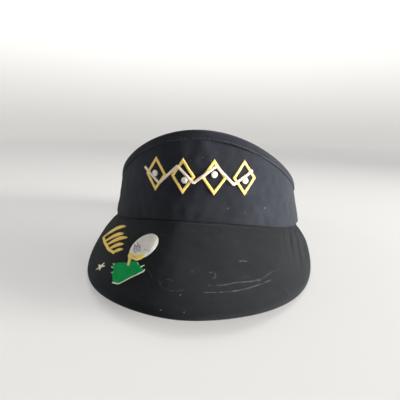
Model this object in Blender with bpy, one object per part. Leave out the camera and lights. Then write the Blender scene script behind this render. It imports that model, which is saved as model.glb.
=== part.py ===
"""Open-top sun visor: cloth band, arched bill, sweatband and a plastic snap closure.

Metres, +Z up, the bill points to -Y. The origin is under the middle of the object, on the table.
Shapes are worked out in a frame whose origin is the middle of the band's ellipse, at the height
where the bill meets the band in front, and world() moves them to their place.
"""

import math

import bmesh
import bpy
from mathutils import Vector
from mathutils.geometry import delaunay_2d_cdt

# --- driving dimensions -------------------------------------------------------------------------
RING_Y = 0.03915            # the band's centre, behind the middle of the whole object
SEAM_Z = 0.03744            # height of the seam's middle above the table
RING_A = 0.0949             # band half-width
RING_FRONT = 0.0928         # band centre to forehead
RING_BACK = 0.0980          # band centre to the back of the head
CORNER = math.radians(68.5)  # the bill's corners, from straight ahead
BAND_END = math.radians(146.0)  # where the cloth band meets the rear tabs
TAB_START = math.radians(146.3)
TAB_END = math.radians(153.0)

BILL_DEPTH = 0.0840
BILL_HALF = 0.0953          # bill half-width
BILL_WIDEST = 0.0508        # distance in front of the ring's centre where the bill is widest
BILL_SLOPE = math.tan(math.radians(17.65))
BILL_ARCH = 0.0380          # how far the bill's sides hang below its middle
ARCH_POWER = 2.207
EDGE_POWER = 2 / 1.927      # 1 would be an ellipse

CROWN_HEIGHT = 0.0701       # above the seam, in front
CROWN_FALL = (0.0828, -0.0302)  # how the top edge falls towards the sides
CROWN_LEAN = math.tan(math.radians(-4.24))
CROWN_NARROW = 0.01035      # the top edge is this much narrower at each side
REAR_HEIGHT = 0.0265        # band height at the rear tabs

GAP = 0.0003
SHELL = (0.0, 0.0010)       # distances inward from the band's outer face
STIFFENER = (0.0013, 0.0023)
LINING = (0.0026, 0.0032)
SWEATBAND = (0.0035, 0.0055)
SWEATBAND_HEIGHT = 0.030
BINDING = 0.0005            # cloth thickness of the folded hem
BINDING_LEG = 0.0062
THREAD = 0.00035

COVER = 0.0008              # cloth on the bill
BOARD = 0.0016
LIP = 0.0016                # width of the cover's turned edge

STRAP_HEIGHT = 0.016
STRAP_BOTTOM = 0.0045       # above the table
STRAP_PITCH = 0.0084
STRAP_HOLES = 7
HOLES_STRAP = (0.0002, 0.0014)
STUDS_STRAP = (0.0017, 0.0029)
HOLE_R = 0.0030
STUD_R = (0.0024, 0.0019)
STUD_PROUD = 0.0005         # the stud's tip stands this far outside the band's face
STRAP_TIP = 0.0175          # how far each strap reaches past the middle
STRAP_ROOT_GAP = 0.0008     # between a strap and its tab, so that it can turn

ORNAMENT = (0.0002, 0.0006)  # lift of the first layer of embroidery, bottom and top
SECOND_LAYER = (0.0008, 0.0011)
THIRD_LAYER = (0.0013, 0.0017)
ARC_R = 0.094               # turns a length along the band's front into an angle

NAVY = (0.030, 0.032, 0.040)
INSIDE = (0.045, 0.045, 0.050)
TERRY = (0.060, 0.060, 0.066)
PLASTIC = (0.012, 0.012, 0.013)
BOARD_GREY = (0.55, 0.54, 0.50)
BUCKRAM = (0.72, 0.70, 0.64)
GOLD = (0.62, 0.42, 0.09)
CREAM = (0.70, 0.60, 0.47)
WHITE = (0.80, 0.78, 0.72)
VIOLET = (0.30, 0.26, 0.38)
GREEN = (0.010, 0.27, 0.10)


# --- scene helpers ------------------------------------------------------------------------------
def clear_scene():
    for obj in list(bpy.data.objects):
        bpy.data.objects.remove(obj, do_unlink=True)


def material(name, color, roughness):
    found = bpy.data.materials.get(name)
    if found:
        return found
    made = bpy.data.materials.new(name)
    made.use_nodes = True
    shader = made.node_tree.nodes["Principled BSDF"]
    shader.inputs["Base Color"].default_value = (*color, 1.0)
    shader.inputs["Roughness"].default_value = roughness
    shader.inputs["Metallic"].default_value = 0.0
    return made


def world(x, y, z):
    return Vector((x, y + RING_Y, z + SEAM_Z))


def add_object(name, mesh_data, look, origin=None):
    """Links a bmesh as one named object, with its origin at the given world point."""
    bmesh.ops.remove_doubles(mesh_data, verts=mesh_data.verts, dist=1e-6)
    bmesh.ops.recalc_face_normals(mesh_data, faces=mesh_data.faces)
    origin = origin or Vector((0, 0, 0))
    bmesh.ops.translate(mesh_data, verts=mesh_data.verts, vec=-origin)
    mesh = bpy.data.meshes.new(name)
    mesh_data.to_mesh(mesh)
    mesh_data.free()
    obj = bpy.data.objects.new(name, mesh)
    obj.location = origin
    obj.data.materials.append(material(*look))
    bpy.context.scene.collection.objects.link(obj)
    return obj


def loft(name, rings, look):
    """A closed solid through rings of points, with a flat cap on each end."""
    mesh_data = bmesh.new()
    rows = [[mesh_data.verts.new(point) for point in ring] for ring in rings]
    count = len(rows[0])
    for one, two in zip(rows, rows[1:]):
        for i in range(count):
            j = (i + 1) % count
            mesh_data.faces.new((one[i], one[j], two[j], two[i]))
    for end in (rows[0], rows[-1]):
        cap_between_sides(mesh_data, end)
    return add_object(name, mesh_data, look)


def cap_between_sides(mesh_data, ring):
    """Caps a long thin ring with quads between its two sides."""
    low, high = 0, len(ring) - 1
    while high - low > 2:
        mesh_data.faces.new((ring[low], ring[low + 1], ring[high - 1], ring[high]))
        low, high = low + 1, high - 1
    if high - low == 2:
        mesh_data.faces.new((ring[low], ring[low + 1], ring[high]))


# --- flat outlines ------------------------------------------------------------------------------
def inside(point, loop):
    hit = False
    for (x1, y1), (x2, y2) in zip(loop, loop[1:] + loop[:1]):
        if (y1 > point[1]) != (y2 > point[1]):
            if point[0] < x1 + (point[1] - y1) / (y2 - y1) * (x2 - x1):
                hit = not hit
    return hit


def edge_distance(point, loop):
    best = 1e9
    place = Vector(point)
    for one, two in zip(loop, loop[1:] + loop[:1]):
        start, along = Vector(one), Vector(two) - Vector(one)
        part = max(0.0, min(1.0, (place - start).dot(along) / max(along.length_squared, 1e-18)))
        best = min(best, (place - start - along * part).length)
    return best


def resample(loop, step):
    points = []
    for one, two in zip(loop, loop[1:] + loop[:1]):
        start, along = Vector(one), Vector(two) - Vector(one)
        count = max(1, math.ceil(along.length / step))
        points += [tuple(start + along * (i / count)) for i in range(count)]
    return points


def circle(x, y, radius, count=12, stretch=1.0, turn=0.0):
    points = []
    for i in range(count):
        angle = math.tau * i / count
        u, v = radius * math.cos(angle), radius * stretch * math.sin(angle)
        points.append((x + u * math.cos(turn) - v * math.sin(turn),
                       y + u * math.sin(turn) + v * math.cos(turn)))
    return points


def ribbon(points, width):
    """The outline of a mitred band along an open line."""
    left, right = [], []
    for i, point in enumerate(points):
        before = Vector(point) - Vector(points[i - 1]) if i else None
        after = Vector(points[i + 1]) - Vector(point) if i + 1 < len(points) else None
        sides = [Vector((-d.y, d.x)).normalized() for d in (before, after) if d]
        side = sum(sides, Vector((0, 0))).normalized()
        reach = width / 2 / side.dot(sides[0])
        left.append(tuple(Vector(point) + side * reach))
        right.append(tuple(Vector(point) - side * reach))
    return left + right[::-1]


def leaf(base, tip, width, count=5):
    """A pointed leaf outline from base to tip."""
    base, tip = Vector(base), Vector(tip)
    along = tip - base
    side = Vector((-along.y, along.x)).normalized() * (width / 2)
    fractions = [i / (count + 1) for i in range(1, count + 1)]
    upper = [tuple(base + along * f + side * math.sin(math.pi * f)) for f in fractions]
    lower = [tuple(base + along * f - side * math.sin(math.pi * f)) for f in fractions[::-1]]
    return [tuple(base)] + upper + [tuple(tip)] + lower


def star(x, y, radius, turn):
    points = []
    for i in range(10):
        reach = radius if i % 2 == 0 else radius * 0.42
        angle = turn + math.pi * i / 5
        points.append((x + reach * math.cos(angle), y + reach * math.sin(angle)))
    return points


def slab(name, outlines, holes, spot, lifts, step, look, origin=None):
    """A sheet of even thickness on a curved surface: spot(u, v, lift) gives each point's place."""
    loops = [resample(loop, step) for loop in outlines + holes]
    points, edges = [], []
    for loop in loops:
        first = len(points)
        points += loop
        edges += [(first + i, first + (i + 1) % len(loop)) for i in range(len(loop))]
    low_u, low_v = (min(p[k] for p in points) for k in (0, 1))
    high_u, high_v = (max(p[k] for p in points) for k in (0, 1))
    for i in range(1, int((high_u - low_u) / step) + 1):
        for j in range(1, int((high_v - low_v) / step) + 1):
            place = (low_u + i * step, low_v + j * step)
            if min(edge_distance(place, loop) for loop in loops) > 0.45 * step:
                points.append(place)
    flat, _, triangles, *_ = delaunay_2d_cdt([Vector(p) for p in points], edges, [], 0, 1e-7)
    kept = []
    for tri in triangles:
        middle = sum((flat[i] for i in tri), Vector((0, 0))) / 3
        if any(inside(middle, o) for o in outlines) and not any(inside(middle, h) for h in holes):
            kept.append(tuple(tri))
    return add_object(name, thicken(flat, kept, spot, lifts), look, origin)


def thicken(flat, triangles, spot, lifts):
    mesh_data = bmesh.new()
    used = sorted({i for tri in triangles for i in tri})
    low = {i: mesh_data.verts.new(spot(*flat[i], lifts[0])) for i in used}
    high = {i: mesh_data.verts.new(spot(*flat[i], lifts[1])) for i in used}
    sides = {}
    for a, b, c in triangles:
        mesh_data.faces.new((high[a], high[b], high[c]))
        mesh_data.faces.new((low[c], low[b], low[a]))
        for one, two in ((a, b), (b, c), (c, a)):
            sides[one, two] = True
    for one, two in sides:
        if (two, one) not in sides:
            mesh_data.faces.new((low[one], low[two], high[two], high[one]))
    return mesh_data


# --- the visor's own surfaces, in the seam frame --------------------------------------------------
def bill_top(x, y):
    return -BILL_SLOPE * (-y - RING_FRONT) - BILL_ARCH * abs(x / BILL_HALF) ** ARCH_POWER


def ring(angle, inward=0.0):
    """A point on the band's ellipse, moved in along its normal. Angle 0 is straight ahead."""
    depth = RING_FRONT if math.cos(angle) > 0 else RING_BACK
    x, y = RING_A * math.sin(angle), -depth * math.cos(angle)
    normal = Vector((x / RING_A**2, y / depth**2)).normalized()
    return x - normal.x * inward, y - normal.y * inward


def ease(value):
    value = max(0.0, min(1.0, value))
    return value * value * (3 - 2 * value)


def band_low(angle, inward=0.0):
    """Lower edge of the band: on the bill in front, then sweeping down to the rear tabs."""
    angle = abs(angle)
    seam = bill_top(*ring(min(angle, CORNER), inward))
    rear = GAP - SEAM_Z
    return seam + (rear - seam) * ease((angle - CORNER) / (math.radians(138) - CORNER))


def front_top(angle):
    fall = 1 - math.cos(angle)
    return CROWN_HEIGHT - CROWN_FALL[0] * fall - CROWN_FALL[1] * fall * fall


def band_top(angle):
    angle = abs(angle)
    side, rear = math.radians(90), math.radians(142)
    if angle <= side:
        return front_top(angle)
    part = min(1.0, (angle - side) / (rear - side))
    slope = (-CROWN_FALL[0] - 2 * CROWN_FALL[1]) * (rear - side)
    start, end = front_top(side), REAR_HEIGHT - SEAM_Z
    cube, square = part**3, part**2
    return start * (2 * cube - 3 * square + 1) + slope * (cube - 2 * square + part) + end * (3 * square - 2 * cube)


def band(angle, z, inward=0.0):
    """A world point on the band at this angle and height, moved in from its outer face."""
    low, top = band_low(angle), band_top(angle)
    upright = 1 - ease((abs(angle) - math.radians(85)) / math.radians(50))
    share = (z - low) / (top - low)
    lean = CROWN_LEAN * (z - low) * upright
    x, y = ring(angle, inward)
    x *= 1 - (0.35 * lean + CROWN_NARROW * share * upright) / RING_A
    y *= 1 - lean / RING_FRONT
    return world(x, y, z)


def angles(end, step=math.radians(4)):
    count = math.ceil(2 * end / step)
    return [-end + 2 * end * i / count for i in range(count + 1)]


def on_crown(u, v, lift):
    """Ornament place on the front: u along the band, v above the seam."""
    return band(u / ARC_R, v, -lift)


def on_bill(x, y, lift):
    reach = 1e-4
    slope_x = (bill_top(x + reach, y) - bill_top(x - reach, y)) / (2 * reach)
    normal = Vector((-slope_x, -BILL_SLOPE, 1)).normalized()
    return world(x, y, bill_top(x, y)) + normal * lift


# --- band ------------------------------------------------------------------------------------------
def band_layer(name, inward, end, low_gap, top_gap, look, rows=5):
    """One cloth layer of the band, from its lower to its upper edge."""
    rings = []
    for angle in angles(end):
        top = band_top(angle) - top_gap
        sides = []
        for depth in inward:
            low = band_low(angle, depth) + low_gap
            sides.append([band(angle, low + (top - low) * i / rows, depth) for i in range(rows + 1)])
        rings.append(sides[0] + sides[1][::-1])
    return loft(name, rings, look)


def top_binding():
    """The folded hem: a channel over the top edges of shell, stiffener and lining."""
    rings = []
    outer, inner = -GAP, LINING[1] + GAP
    for angle in angles(BAND_END):
        top = band_top(angle)
        leg, roof = top - BINDING_LEG, top - BINDING
        profile = [(outer, leg), (outer, roof), (inner, roof), (inner, leg),
                   (inner + BINDING, leg), (inner + BINDING, top), (outer - BINDING, top),
                   (outer - BINDING, leg)]
        rings.append([band(angle, z, inward) for inward, z in profile])
    mesh_data = bmesh.new()
    rows = [[mesh_data.verts.new(point) for point in one] for one in rings]
    for one, two in zip(rows, rows[1:]):
        for i in range(8):
            mesh_data.faces.new((one[i], one[(i + 1) % 8], two[(i + 1) % 8], two[i]))
    for end in (rows[0], rows[-1]):
        mesh_data.faces.new((end[7], end[0], end[1], end[6]))
        mesh_data.faces.new((end[1], end[2], end[5], end[6]))
        mesh_data.faces.new((end[2], end[3], end[4], end[5]))
    return add_object("top_binding", mesh_data, ("band_cloth", NAVY, 0.85))


def thread_line(name, inward, height, end, look):
    """A round thread laid along the band; height(angle) is its middle."""
    rings = []
    for angle in angles(end):
        z = height(angle)
        half = THREAD / 2
        profile = [(inward - half, z), (inward, z + half), (inward + half, z), (inward, z - half)]
        rings.append([band(angle, place, depth) for depth, place in profile])
    return loft(name, rings, look)


def sweat_low(angle):
    """The sweatband's lower edge: level with the bill's underside, then with the band's edge."""
    drop = 2 * COVER + BOARD + 2 * GAP
    return band_low(angle) - drop * (1 - ease((abs(angle) - CORNER) / math.radians(12))) + 0.0004


def sweatband():
    rings = []
    for angle in angles(BAND_END - math.radians(1)):
        low = sweat_low(angle)
        top = min(low + SWEATBAND_HEIGHT, band_top(angle) - BINDING_LEG - GAP)
        heights = [low + (top - low) * i / 4 for i in range(5)]
        outer = [band(angle, z, SWEATBAND[0]) for z in heights]
        inner = [band(angle, z, SWEATBAND[1]) for z in heights]
        rings.append(outer + inner[::-1])
    return loft("sweatband", rings, ("sweatband_terry", TERRY, 0.95))


def build_band():
    cloth = ("band_cloth", NAVY, 0.85)
    band_layer("crown_shell", SHELL, BAND_END, GAP, BINDING + GAP, cloth)
    band_layer("crown_stiffener", STIFFENER, math.radians(64), 2 * GAP, BINDING + GAP,
               ("buckram", BUCKRAM, 0.9))
    band_layer("crown_lining", LINING, BAND_END, 2 * GAP, BINDING + GAP, ("lining_cloth", INSIDE, 0.85), 3)
    top_binding()
    thread = ("dark_thread", NAVY, 0.6)
    thread_line("binding_stitches", -GAP - BINDING - GAP,
                lambda angle: band_top(angle) - BINDING_LEG + 0.0008, BAND_END, thread)
    sweatband()
    thread_line("sweatband_stitches", SWEATBAND[1] + GAP,
                lambda angle: sweat_low(angle) + 0.0025, BAND_END - math.radians(2), thread)


# --- bill --------------------------------------------------------------------------------------------
def half_outline(count=60):
    """The bill's edge from its corner round to the middle of the front, for x > 0."""
    corner = Vector(ring(CORNER))
    widest = Vector((BILL_HALF, -BILL_WIDEST))
    control = Vector((BILL_HALF, -BILL_WIDEST + (corner.y + BILL_WIDEST) * 0.489))
    points = []
    for i in range(12):
        t = i / 12
        points.append(corner * (1 - t) ** 2 + control * 2 * t * (1 - t) + widest * t * t)
    reach = RING_FRONT + BILL_DEPTH - BILL_WIDEST
    for i in range(count + 1):
        t = math.pi / 2 * i / count
        x = BILL_HALF * max(0.0, math.cos(t)) ** EDGE_POWER
        points.append(Vector((x, -BILL_WIDEST - reach * math.sin(t) ** EDGE_POWER)))
    return points


def along(points, share):
    """The point at this share of an open line's length."""
    lengths = [(two - one).length for one, two in zip(points, points[1:])]
    left = share * sum(lengths)
    for one, two, length in zip(points, points[1:], lengths):
        if left <= length:
            return one.lerp(two, left / length)
        left -= length
    return points[-1].copy()


def bill_columns(count=40):
    """Pairs of plan points, on the seam and on the bill's edge, from one corner to the other."""
    edge = half_outline()
    pairs = []
    for i in range(count + 1):
        share = 2 * i / count - 1
        rim = along(edge, 1 - abs(share))
        rim.x *= 1 if share > 0 else -1
        pairs.append((Vector(ring(CORNER * share, LINING[1])), rim))
    return pairs


def bill_layer(name, tops, look, rows=6):
    """A layer of the bill. tops lists (inset from the edge, depth) of its profile at the edge,
    and the first and last depths hold from there back to the seam."""
    rings = []
    for seam, rim in bill_columns():
        back = (seam - rim).normalized()

        def place(plan, depth):
            return world(plan.x, plan.y, bill_top(plan.x, plan.y) - depth)

        ends = [rim + back * inset for inset, _ in tops]
        upper = [place(seam.lerp(ends[0], i / rows), tops[0][1]) for i in range(rows)]
        lower = [place(seam.lerp(ends[-1], i / rows), tops[-1][1]) for i in range(rows)]
        rim_points = [place(end, depth) for end, (_, depth) in zip(ends, tops)]
        rings.append(upper + rim_points + lower[::-1])
    return loft_any(name, rings, rows, look)


def loft_any(name, rings, rows, look):
    """As loft, but the ring's rim is closed with its own face at each end."""
    mesh_data = bmesh.new()
    lines = [[mesh_data.verts.new(point) for point in one] for one in rings]
    count = len(lines[0])
    for one, two in zip(lines, lines[1:]):
        for i in range(count):
            j = (i + 1) % count
            mesh_data.faces.new((one[i], one[j], two[j], two[i]))
    for end in (lines[0], lines[-1]):
        for i in range(rows - 1):
            mesh_data.faces.new((end[i], end[i + 1], end[count - 2 - i], end[count - 1 - i]))
        mesh_data.faces.new(end[rows - 1:count - rows + 1])
    return add_object(name, mesh_data, look)


def build_bill():
    board_top = COVER + GAP
    board_low = board_top + BOARD
    under_top = board_low + GAP
    under_low = under_top + COVER
    middle = under_low / 2
    cloth = ("bill_cloth", NAVY, 0.8)
    bill_layer("bill_top_cover", [(0, 0), (0, middle - GAP / 2), (LIP, middle - GAP / 2), (LIP, COVER)],
               cloth)
    bill_layer("bill_board", [(LIP + GAP, board_top), (LIP + GAP, board_low)],
               ("bill_board", BOARD_GREY, 0.6))
    bill_layer("bill_under_cover", [(LIP, under_top), (LIP, middle + GAP / 2), (0, middle + GAP / 2),
                                    (0, under_low)], cloth)


# --- rear closure ------------------------------------------------------------------------------------
def on_rear(u, v, lift):
    """u runs along the back of the ring, 0 at its middle and positive towards +X; v is above the table."""
    x, y = ring(math.pi - u / RING_BACK, -lift)
    return world(x, y, v - SEAM_Z)


def box_outline(u1, u2, v1, v2, cut=0.0):
    if not cut:
        return [(u1, v1), (u2, v1), (u2, v2), (u1, v2)]
    return [(u1, v1), (u2 - cut, v1), (u2, v1 + cut), (u2, v2 - cut), (u2 - cut, v2), (u1, v2)]


def rear_tab(side, name):
    start, end = ((math.pi - angle) * RING_BACK for angle in (TAB_END, TAB_START))
    outline = [(side * u, v) for u, v in box_outline(start, end, 0, REAR_HEIGHT)]
    slab(name + "_rear_tab", [outline], [], on_rear, (-LINING[1], 0), 0.004, ("band_cloth", NAVY, 0.85))
    middle = start + 0.0032
    tack = [(side * u, v) for u, v in box_outline(middle - 0.0008, middle + 0.0008, 0.005, 0.020)]
    slab(name + "_bar_tack", [tack], [], on_rear, (0.0002, 0.0006), 0.004, ("dark_thread", NAVY, 0.6))


def strap_outline(side):
    """A strap from its root at one tab to its rounded tip past the middle, root on +X for side 1."""
    root = (math.pi - TAB_END) * RING_BACK - STRAP_ROOT_GAP
    low, high = STRAP_BOTTOM, STRAP_BOTTOM + STRAP_HEIGHT
    corner, points = 0.004, []
    for centre_v, first in ((low + corner, 180), (high - corner, 90)):
        turns = [math.radians(first + 90 * i / 4) for i in range(5)]
        arc = [(-STRAP_TIP + corner + corner * math.cos(t), centre_v + corner * math.sin(t)) for t in turns]
        points.append(arc)
    outline = [(root, low), (root, high)] + points[1] + points[0]
    return [(side * u, v) for u, v in outline]


def strap_root(side, inward):
    """World point of a strap's hinge: the middle of its root's end."""
    root = (math.pi - TAB_END) * RING_BACK - STRAP_ROOT_GAP
    point = on_rear(side * root, 0, -inward)
    return Vector((point.x, point.y, 0))


def station(number):
    """Distance of a hole or stud from the middle of the back, on its strap's own side."""
    engaged = 4
    return (number - (engaged - 1) / 2) * STRAP_PITCH


def holes_strap():
    v = STRAP_BOTTOM + STRAP_HEIGHT / 2
    holes = [circle(station(i), v, HOLE_R) for i in range(STRAP_HOLES)]
    slab("snap_strap_holes", [strap_outline(1)], holes, on_rear, (-HOLES_STRAP[1], -HOLES_STRAP[0]),
         0.004, ("snap_plastic", PLASTIC, 0.4), strap_root(1, sum(HOLES_STRAP) / 2))


def stud(u, v):
    """A tapered stud as a separate closed helper mesh, rooted inside the strap."""
    base = on_rear(u, v, -STUDS_STRAP[0] - 0.0005)
    tip = on_rear(u, v, STUD_PROUD)
    axis = (tip - base).normalized()
    mesh_data = bmesh.new()
    bmesh.ops.create_cone(mesh_data, cap_ends=True, segments=12, radius1=STUD_R[0], radius2=STUD_R[1],
                          depth=(tip - base).length)
    turn = Vector((0, 0, 1)).rotation_difference(axis).to_matrix()
    bmesh.ops.rotate(mesh_data, verts=mesh_data.verts, matrix=turn, cent=(0, 0, 0))
    bmesh.ops.translate(mesh_data, verts=mesh_data.verts, vec=(base + tip) / 2)
    mesh = bpy.data.meshes.new("stud_cutter")
    mesh_data.to_mesh(mesh)
    mesh_data.free()
    obj = bpy.data.objects.new("stud_cutter", mesh)
    bpy.context.scene.collection.objects.link(obj)
    obj.hide_render = True
    obj.display_type = "WIRE"
    return obj


def studs_strap():
    origin = strap_root(-1, sum(STUDS_STRAP) / 2)
    strap = slab("snap_strap_studs", [strap_outline(-1)], [], on_rear, (-STUDS_STRAP[1], -STUDS_STRAP[0]),
                 0.004, ("snap_plastic", PLASTIC, 0.4), origin)
    v = STRAP_BOTTOM + STRAP_HEIGHT / 2
    for i in range(STRAP_HOLES):
        union = strap.modifiers.new(f"stud_{i + 1}", "BOOLEAN")
        union.operation = "UNION"
        union.solver = "EXACT"
        union.object = stud(-station(i), v)


# --- ornament ------------------------------------------------------------------------------------------
LOZENGES = (-0.0370, -0.0125, 0.0120, 0.0365)
LOZENGE_MIDDLE, LOZENGE_HALF, LOZENGE_TALL = 0.0360, 0.0102, 0.0140
LOZENGE_STROKE = 0.0030
CHEVRON = [(-0.0485, 0.0405), (-0.0335, 0.0290), (-0.0170, 0.0435), (-0.0040, 0.0315), (0.0135, 0.0445),
           (0.0275, 0.0310), (0.0435, 0.0415)]
DOTS = [(-0.0375, 0.0365), (-0.0110, 0.0330), (0.0122, 0.0385), (0.0370, 0.0340)]


def lozenge(middle, shrink):
    half, tall = LOZENGE_HALF - shrink, LOZENGE_TALL - shrink * LOZENGE_TALL / LOZENGE_HALF
    return [(middle - half, LOZENGE_MIDDLE), (middle, LOZENGE_MIDDLE - tall),
            (middle + half, LOZENGE_MIDDLE), (middle, LOZENGE_MIDDLE + tall)]


def build_crown_ornament():
    gold = ("gold_thread", GOLD, 0.45)
    for i, middle in enumerate(LOZENGES):
        slab(f"crown_lozenge_{i + 1}", [lozenge(middle, 0)], [lozenge(middle, LOZENGE_STROKE)],
             on_crown, ORNAMENT, 0.004, gold)
    slab("crown_chevron_band", [ribbon(CHEVRON, 0.0024)], [], on_crown, SECOND_LAYER, 0.005,
         ("cream_thread", CREAM, 0.5))
    for i, (u, v) in enumerate(DOTS):
        slab(f"crown_dot_{i + 1}", [circle(u, v, 0.0025)], [], on_crown, THIRD_LAYER, 0.004,
             ("white_thread", WHITE, 0.5))


SPRIG_STEM = [(-0.0838, -0.0777), (-0.0773, -0.0902), (-0.0668, -0.1072), (-0.0580, -0.1172)]
SPRIG_LEAVES = [((-0.0840, -0.0777), (-0.0615, -0.0832), 0.0050), ((-0.0780, -0.0897), (-0.0590, -0.0947), 0.0044),
                ((-0.0728, -0.0982), (-0.0530, -0.1022), 0.0042), ((-0.0672, -0.1067), (-0.0535, -0.1095), 0.0036),
                ((-0.0600, -0.1152), (-0.0515, -0.1162), 0.0032)]
BALL = (-0.0354, -0.1184, 0.0101, 1.37, math.radians(4))
BALL_SHADE = [(-0.0438, -0.1157), (-0.0420, -0.1120), (-0.0404, -0.1162), (-0.0372, -0.1200),
              (-0.0312, -0.1224), (-0.0300, -0.1254), (-0.0358, -0.1244), (-0.0408, -0.1200)]
TEE = [(-0.0446, -0.1240), (-0.0410, -0.1252), (-0.0370, -0.1276), (-0.0316, -0.1284), (-0.0314, -0.1312),
       (-0.0334, -0.1332), (-0.0364, -0.1336), (-0.0394, -0.1316), (-0.0396, -0.1370), (-0.0416, -0.1366),
       (-0.0432, -0.1300)]
TURF = [(-0.0546, -0.1288), (-0.0420, -0.1334), (-0.0362, -0.1342), (-0.0338, -0.1371), (-0.0290, -0.1394),
        (-0.0281, -0.1426), (-0.0348, -0.1482), (-0.0412, -0.1517), (-0.0463, -0.1487), (-0.0505, -0.1400)]
TURF_EDGE = [(-0.0272, -0.1430), (-0.0343, -0.1491), (-0.0413, -0.1530), (-0.0468, -0.1496)]


def build_bill_ornament():
    gold, white = ("gold_thread", GOLD, 0.45), ("white_thread", WHITE, 0.5)
    leaves = [leaf(*one) for one in SPRIG_LEAVES]
    slab("bill_sprig", [ribbon(SPRIG_STEM, 0.0018)] + leaves, [], on_bill, ORNAMENT, 0.006, gold)
    slab("bill_star", [star(-0.0644, -0.1271, 0.0049, math.radians(57))], [], on_bill, ORNAMENT, 0.004,
         ("cream_thread", CREAM, 0.5))
    x, y, radius, stretch, turn = BALL
    slab("bill_ball", [circle(x, y, radius, 24, stretch, turn)], [], on_bill, ORNAMENT, 0.005, white)
    slab("bill_ball_shade", [BALL_SHADE], [], on_bill, SECOND_LAYER, 0.005, ("violet_thread", VIOLET, 0.5))
    slab("bill_tee", [TEE], [], on_bill, THIRD_LAYER, 0.005, gold)
    slab("bill_turf", [TURF], [], on_bill, ORNAMENT, 0.005, ("green_thread", GREEN, 0.55))
    slab("bill_turf_outline", [ribbon(TURF_EDGE, 0.0011)], [], on_bill, ORNAMENT, 0.006, white)


def main():
    clear_scene()
    build_band()
    build_bill()
    for side, name in ((-1, "left"), (1, "right")):
        rear_tab(side, name)
    holes_strap()
    studs_strap()
    build_crown_ornament()
    build_bill_ornament()


main()
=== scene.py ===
"""The looks of the sun visor: cloth, embroidery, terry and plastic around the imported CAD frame.

Metres, in the frame's own axes: the bill points to -Y, +Z is up, the table is z = 0. The band and the
bill are smooth surfaces given by band() and bill_top(), with the same driving dimensions as the part.
Every cloth piece is a thin closed sheet laid on those surfaces, and every motif is made of threads.
"""

import math

import bmesh
import bpy
import numpy as np
from mathutils import Matrix, Vector
from mathutils.geometry import delaunay_2d_cdt


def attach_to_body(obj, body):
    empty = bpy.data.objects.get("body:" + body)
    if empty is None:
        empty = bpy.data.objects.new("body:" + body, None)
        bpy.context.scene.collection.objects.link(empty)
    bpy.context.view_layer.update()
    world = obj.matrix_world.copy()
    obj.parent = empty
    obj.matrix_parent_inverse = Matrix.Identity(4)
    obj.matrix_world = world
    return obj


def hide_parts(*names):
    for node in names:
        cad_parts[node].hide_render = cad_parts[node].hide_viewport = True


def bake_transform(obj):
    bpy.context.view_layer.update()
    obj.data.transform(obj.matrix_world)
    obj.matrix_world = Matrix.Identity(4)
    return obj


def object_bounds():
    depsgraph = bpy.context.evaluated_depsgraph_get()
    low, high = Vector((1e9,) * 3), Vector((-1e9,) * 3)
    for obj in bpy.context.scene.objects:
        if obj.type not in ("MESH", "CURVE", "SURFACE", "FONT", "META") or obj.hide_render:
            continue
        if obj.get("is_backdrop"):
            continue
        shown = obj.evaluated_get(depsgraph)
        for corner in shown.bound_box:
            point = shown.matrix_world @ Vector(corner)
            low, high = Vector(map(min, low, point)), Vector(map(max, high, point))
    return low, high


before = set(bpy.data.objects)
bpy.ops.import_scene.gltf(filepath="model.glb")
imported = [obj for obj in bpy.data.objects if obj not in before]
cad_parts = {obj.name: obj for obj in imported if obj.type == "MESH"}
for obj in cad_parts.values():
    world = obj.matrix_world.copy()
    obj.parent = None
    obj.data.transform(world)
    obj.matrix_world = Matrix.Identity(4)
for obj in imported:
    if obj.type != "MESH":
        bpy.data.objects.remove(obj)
cad_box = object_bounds()

TAU = 2 * math.pi
MM = 0.001

# --- driving dimensions, the same as the part's ---
RING_Y = 0.03915
SEAM_Z = 0.03744
RING_A, RING_FRONT, RING_BACK = 0.0949, 0.0928, 0.0980
CORNER = math.radians(68.5)
BAND_END = math.radians(146.0)
TAB_END = math.radians(153.0)
BILL_DEPTH, BILL_HALF, BILL_WIDEST = 0.0840, 0.0953, 0.0508
BILL_SLOPE = math.tan(math.radians(17.65))
BILL_ARCH, ARCH_POWER, EDGE_POWER = 0.0380, 2.207, 2 / 1.927
BILL_THICK = 0.0038
CROWN_HEIGHT, CROWN_FALL = 0.0701, (0.0828, -0.0302)
CROWN_LEAN = math.tan(math.radians(-4.24))
CROWN_NARROW = 0.01035
REAR_HEIGHT = 0.0265
SWEATBAND_HEIGHT = 0.030
HEM_LEG = 0.0062
STRAP_BOTTOM, STRAP_HEIGHT, STRAP_PITCH, STRAP_HOLES = 0.0045, 0.016, 0.0084, 7
STRAP_MIDDLE = STRAP_BOTTOM + STRAP_HEIGHT / 2
STRAP_TIP = 0.0175
HOLES_STRAP, STUDS_STRAP = (0.0002, 0.0014), (0.0017, 0.0029)
HOLE_R = 0.0030
ARC_R = 0.094  # turns an angle round the band into a length along its cloth

# --- sewing ---
TWILL_PITCH, YARN_PITCH = 0.62 * MM, 0.42 * MM
THREAD_SIDES, THREAD_POINTS = 6, 7
THREAD_PITCH, SATIN_JITTER = 0.36 * MM, 0.12 * MM
STITCH_PITCH, STITCH_R = 2.9 * MM, 0.19 * MM
HEM_SEAM = 5.55 * MM  # below the band's top edge
PAD_SEAM = 2.6 * MM  # in from the sweatband's edges


# --- surfaces ---
def ease(value):
    value = np.clip(value, 0.0, 1.0)
    return value * value * (3 - 2 * value)


def bell(value, middle, width):
    return np.exp(-(((value - middle) / width) ** 2))


def length(vectors):
    return np.linalg.norm(vectors, axis=-1, keepdims=True)


def unit(vectors):
    return vectors / np.maximum(length(vectors), 1e-12)


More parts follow.
